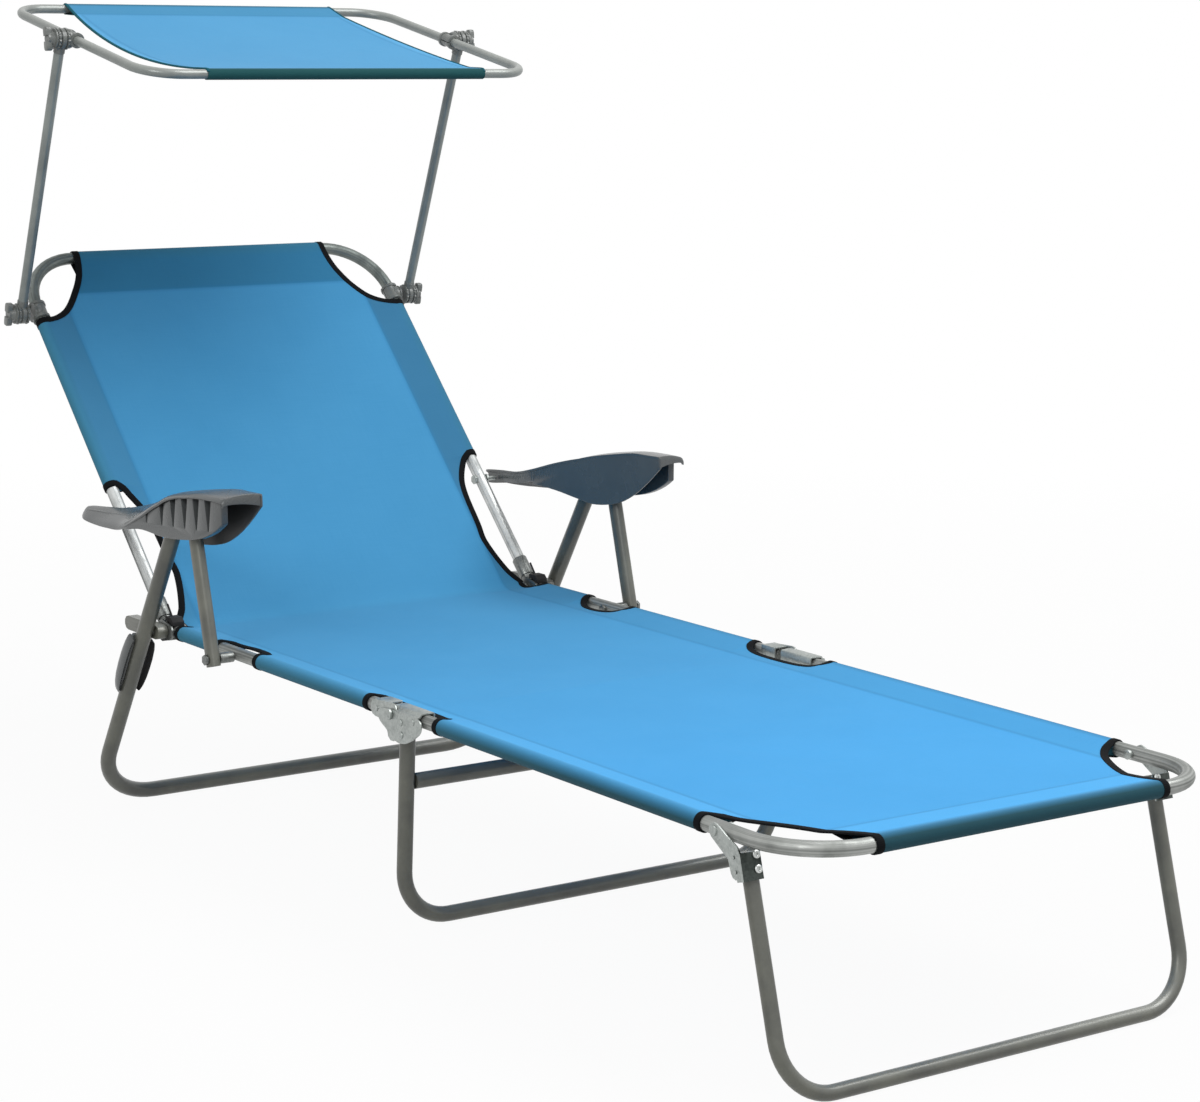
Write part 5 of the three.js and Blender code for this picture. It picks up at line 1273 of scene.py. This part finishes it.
def strut_hub(name, centre_y, centre_z, strut_way):
    """A hub between toothed flanges, with a short collar that the strut is pressed into."""
    hub = turned(name, centre_y, centre_z, HUB_X, HUB_PROFILE)
    cut_teeth(hub, centre_y, centre_z, 13.8)
    middle = at(STRUT['x'], centre_y, centre_z)
    collar = bent_tube('collar', [middle, middle + strut_way * HUB_COLLAR['end'] * MM], HUB_COLLAR['radius'])
    bevel_edges(collar, 0.6, segments=2)
    carve(hub, [collar], 'UNION')
    socket = bent_tube('socket', [middle + strut_way * reach * MM for reach in (HUB_COLLAR['socket_from'], 50)],
                       STRUT['radius'] + 0.3)
    carve(hub, [socket])
    smooth(35)
    return hub


def wing_knob(name, centre_y, centre_z, tilt):
    """A stepped boss with a waisted bar across its outer end."""
    knob = turned(name, centre_y, centre_z, HUB_X + KNOB_FROM, KNOB_PROFILE)
    outline = []
    for k in range(40):
        angle = math.tau * k / 40
        tall = BAR_HALF_HEIGHT * math.cos(angle)
        half_width = 4.6 + 2.8 * abs(math.cos(angle)) ** 1.4
        wide = math.copysign(abs(math.sin(angle)) ** 0.55, math.sin(angle)) * half_width
        outline.append((centre_y + wide * math.cos(tilt) - tall * math.sin(tilt),
                        centre_z + wide * math.sin(tilt) + tall * math.cos(tilt)))
    bar = upright_plate('bar', outline, HUB_X + BAR_FROM, HUB_X + BAR_TO, bevel=1.2)
    notch = slot_cutter(at(HUB_X + NOTCH_FROM, centre_y, centre_z), Vector((0, math.cos(tilt), math.sin(tilt))) * 0.01,
                        Vector((0, -math.sin(tilt), math.cos(tilt))), gap=7)
    carve(bar, [notch])
    carve(knob, [bar], 'UNION')
    smooth(35)
    return knob


foot_of_strut = on_back(STRUT['x'], STRUT['foot_travel'])
top_of_strut = on_roof(STRUT['x'], ROOF_DEPTH * STRUT['top_share'])
strut_way = (top_of_strut - foot_of_strut).normalized()
back_way = Vector((0, math.cos(BACK_ANGLE), math.sin(BACK_ANGLE)))
roof_way = Vector((0, math.cos(ROOF_ANGLE), math.sin(ROOF_ANGLE)))
for level, centre, tube_x, tube_radius, tube_way, leaving, hub_name, jaw_body, tilt in (
        ('lower', foot_of_strut, RAIL_X, RAIL_RADIUS, back_way, strut_way, 'strut_foot_hub', 'backrest', 0.2),
        ('upper', top_of_strut, HOOP['x'], HOOP['radius'], roof_way, -strut_way, 'strut_top_hub', 'canopy', -0.12)):
    centre_y, centre_z = centre.y / MM - FOOT_TUBE_Y, centre.z / MM
    for node, body, piece in (
            (f'{level}_clamp_jaw', jaw_body, clamp_jaw('jaw', centre_y, centre_z, tube_x, tube_radius, tube_way)),
            (hub_name, '{side}_strut', strut_hub('hub', centre_y, centre_z, leaving)),
            (f'{level}_wing_knob', f'{{side}}_{level}_knob', wing_knob('knob', centre_y, centre_z, tilt))):
        dress_pair(piece, 'moulding', light_plastic, body, 'grey_plastic', node)


# Canopy cloth
# One sheet of the same woven polyester, sewn round the hoop's front and rear tubes and sagging between them.
# Its side edges are turned under and overlocked with a teal thread.

ROOF_SEAM = 36
ROOF_RADIUS = HOOP['radius'] + 0.3 + CLOTH_THICKNESS / 2
ROOF_FOLD = folded_length(ROOF_SEAM, ROOF_RADIUS)
ROOF_SAG = 11
ROOF_HALF = 204
ROOF_BOW = 9


def roof_half_width(travel):
    share = min(max(travel / ROOF_DEPTH, 0), 1)
    return ROOF_HALF + 4 * ROOF_BOW * share * (1 - share)


def roof_cloth(out, travel, lift=0):
    """A point of the canopy cloth, from its flat place: out from the middle line, and back from the front tube."""
    share = min(max((travel - ROOF_SEAM) / (ROOF_DEPTH - 2 * ROOF_SEAM), 0), 1)
    rise = -4 * ROOF_SAG * share * (1 - share) * (1 - 0.12 * (out / ROOF_HALF) ** 2 - 0.4 * out / ROOF_HALF)
    if travel < ROOF_SEAM:
        beyond, rise = over_tube(ROOF_SEAM - travel, ROOF_SEAM, ROOF_RADIUS, lift)
        travel = ROOF_SEAM - beyond
    elif travel > ROOF_DEPTH - ROOF_SEAM:
        beyond, rise = over_tube(travel - ROOF_DEPTH + ROOF_SEAM, ROOF_SEAM, ROOF_RADIUS, lift)
        travel = ROOF_DEPTH - ROOF_SEAM + beyond
    else:
        rise += lift
    return on_roof(out, travel, rise)


# A side edge that is only turned under has no sleeve, so its turned part lies beyond the cloth
roof_straight = math.sqrt(ROOF_SEAM**2 - ROOF_RADIUS**2)
# The canopy's colours are darker than the bed's, as painted shade
canopy_weave = woven_polyester('woven_polyester_canopy', ((198, 40), (ROOF_SEAM, roof_straight)),
                               ROOF_DEPTH / 2, ROOF_DEPTH, '4592C2', '5BA5D2', 0, 0.7, (-7, 4), '0B4346')
roof_rows = spread(ROOF_SEAM - ROOF_FOLD + HEM_SHORT, 4, 2.2)
roof_rows = roof_rows[:-1] + spread(4, ROOF_DEPTH - 4, 6) + [ROOF_DEPTH - t for t in reversed(roof_rows)][1:]
roof_outs = spread(-230, 230, 8)
canopy = woven_sheet('canopy_cloth', roof_cloth, roof_outs, roof_rows, roof_half_width)
thicken(canopy, CLOTH_THICKNESS)
dress(canopy, canopy_weave, 'canopy', 'sling_fabric', 'canopy_fabric')
overlock = ribbed_tape('teal_overlock_thread', '0F3F49', '1F5C68')
edges = []
for side, word in SIDES:
    route = [Vector((side * roof_half_width(travel), travel))
             for travel in spread(-ROOF_RADIUS, ROOF_DEPTH + ROOF_RADIUS, 5)]
    edges.append(taped_edge(f'canopy_edge_{word}_stitching', route[::side], roof_cloth, 2.4))
    dress(edges[-1], overlock, 'canopy', 'sling_fabric')


# Studio
# A plain pale floor, one large soft lamp on the right, a fill on the left and a sky that is brighter on the left.

def seen_directly(material):
    """1 for what the camera, a mirror or glass sees, and 0 for light that a surface throws on others."""
    path = add_node(material, 'LightPath', {})
    seen = add_node(material, 'Math', {0: path['Is Camera Ray'], 1: path['Is Glossy Ray']}, operation='MAXIMUM')[0]
    return add_node(material, 'Math', {0: seen, 1: path['Is Transmission Ray']}, operation='MAXIMUM')[0]


def backdrop_white():
    """Matt pale floor. The camera and mirrors see it as plain white, but near the lounger it keeps the soft
    shadow, which fades out so that floor and sky meet unseen."""
    white = new_material('floor_paint')
    place = add_node(white, 'TexCoord', {})['Object']
    away = add_node(white, 'VectorMath', {0: place}, operation='LENGTH')['Value']
    share = add_node(white, 'Math', {0: seen_directly(white), 1: add_node(white, 'MapRange',
        {'Value': away, 'From Min': 1.2, 'From Max': 3.5, 'To Min': 0.95})[0]}, operation='MULTIPLY')[0]
    paint = add_node(white, 'BsdfDiffuse', {'Color': linear('C4C4C4')})[0]
    glow = add_node(white, 'Emission', {'Color': (1, 1, 1, 1), 'Strength': 1.0})[0]
    both = add_node(white, 'MixShader', {0: share, 1: paint, 2: glow})[0]
    add_node(white, 'OutputMaterial', {'Surface': both})
    return white


bpy.ops.mesh.primitive_plane_add(size=60, location=(0, 0, 0))
floor = bpy.context.object
floor.name = 'studio_floor'
floor.data.materials.append(backdrop_white())
pick()

sky = bpy.data.worlds.new('studio_sky')
sky.use_nodes = True
bpy.context.scene.world = sky
sky.node_tree.nodes.clear()
across = add_node(sky, 'SeparateXYZ', {'Vector': add_node(sky, 'TexCoord', {})['Generated']})['X']
softbox = add_node(sky, 'MapRange', {'Value': across, 'From Min': -1, 'From Max': 1, 'To Min': 0.94,
    'To Max': 0.18})[0]
strength = add_node(sky, 'MapRange', {'Value': seen_directly(sky), 'From Min': 0, 'From Max': 1,
    'To Min': softbox})[0]
light = add_node(sky, 'Background', {'Color': (1, 1, 1, 1), 'Strength': strength})[0]
add_node(sky, 'OutputWorld', {'Surface': light})

for name, place, aim, size, power in (
        ('key_lamp', (1.4, -1.1, 3.3), (0, -0.1, 0.4), 2.6, 105),
        ('fill_lamp', (-3.0, -1.6, 2.2), (0, 0, 0.4), 1.6, 48)):
    lamp = bpy.data.lights.new(name, 'AREA')
    lamp.shape = 'DISK'
    lamp.size = size
    lamp.energy = power
    holder = bpy.data.objects.new(name, lamp)
    bpy.context.collection.objects.link(holder)
    holder.location = place
    holder.rotation_euler = (Vector(aim) - Vector(place)).to_track_quat('-Z', 'Y').to_euler()

AZIMUTH, ELEVATION, ROLL = (math.radians(angle) for angle in (-35.34, 9.66, 0.523))
back = Vector((math.sin(AZIMUTH) * math.cos(ELEVATION), -math.cos(AZIMUTH) * math.cos(ELEVATION),
               math.sin(ELEVATION)))
right = Vector((math.cos(AZIMUTH), math.sin(AZIMUTH), 0))
up = back.cross(right)
right, up = (right * math.cos(ROLL) + up * math.sin(ROLL), up * math.cos(ROLL) - right * math.sin(ROLL))
camera = bpy.data.cameras.new('photo_camera')
camera.sensor_width = 36
camera.lens = 89.95
camera.shift_x = 0.0018
camera.shift_y = -0.0122
viewer = bpy.data.objects.new('photo_camera', camera)
bpy.context.collection.objects.link(viewer)
turned_to = Matrix((right, up, back)).transposed().to_4x4()
viewer.matrix_world = Matrix.Translation((-1.9760, -2.9125, 1.0081)) @ turned_to
bpy.context.scene.camera = viewer
bpy.context.scene.view_settings.view_transform = 'Standard'
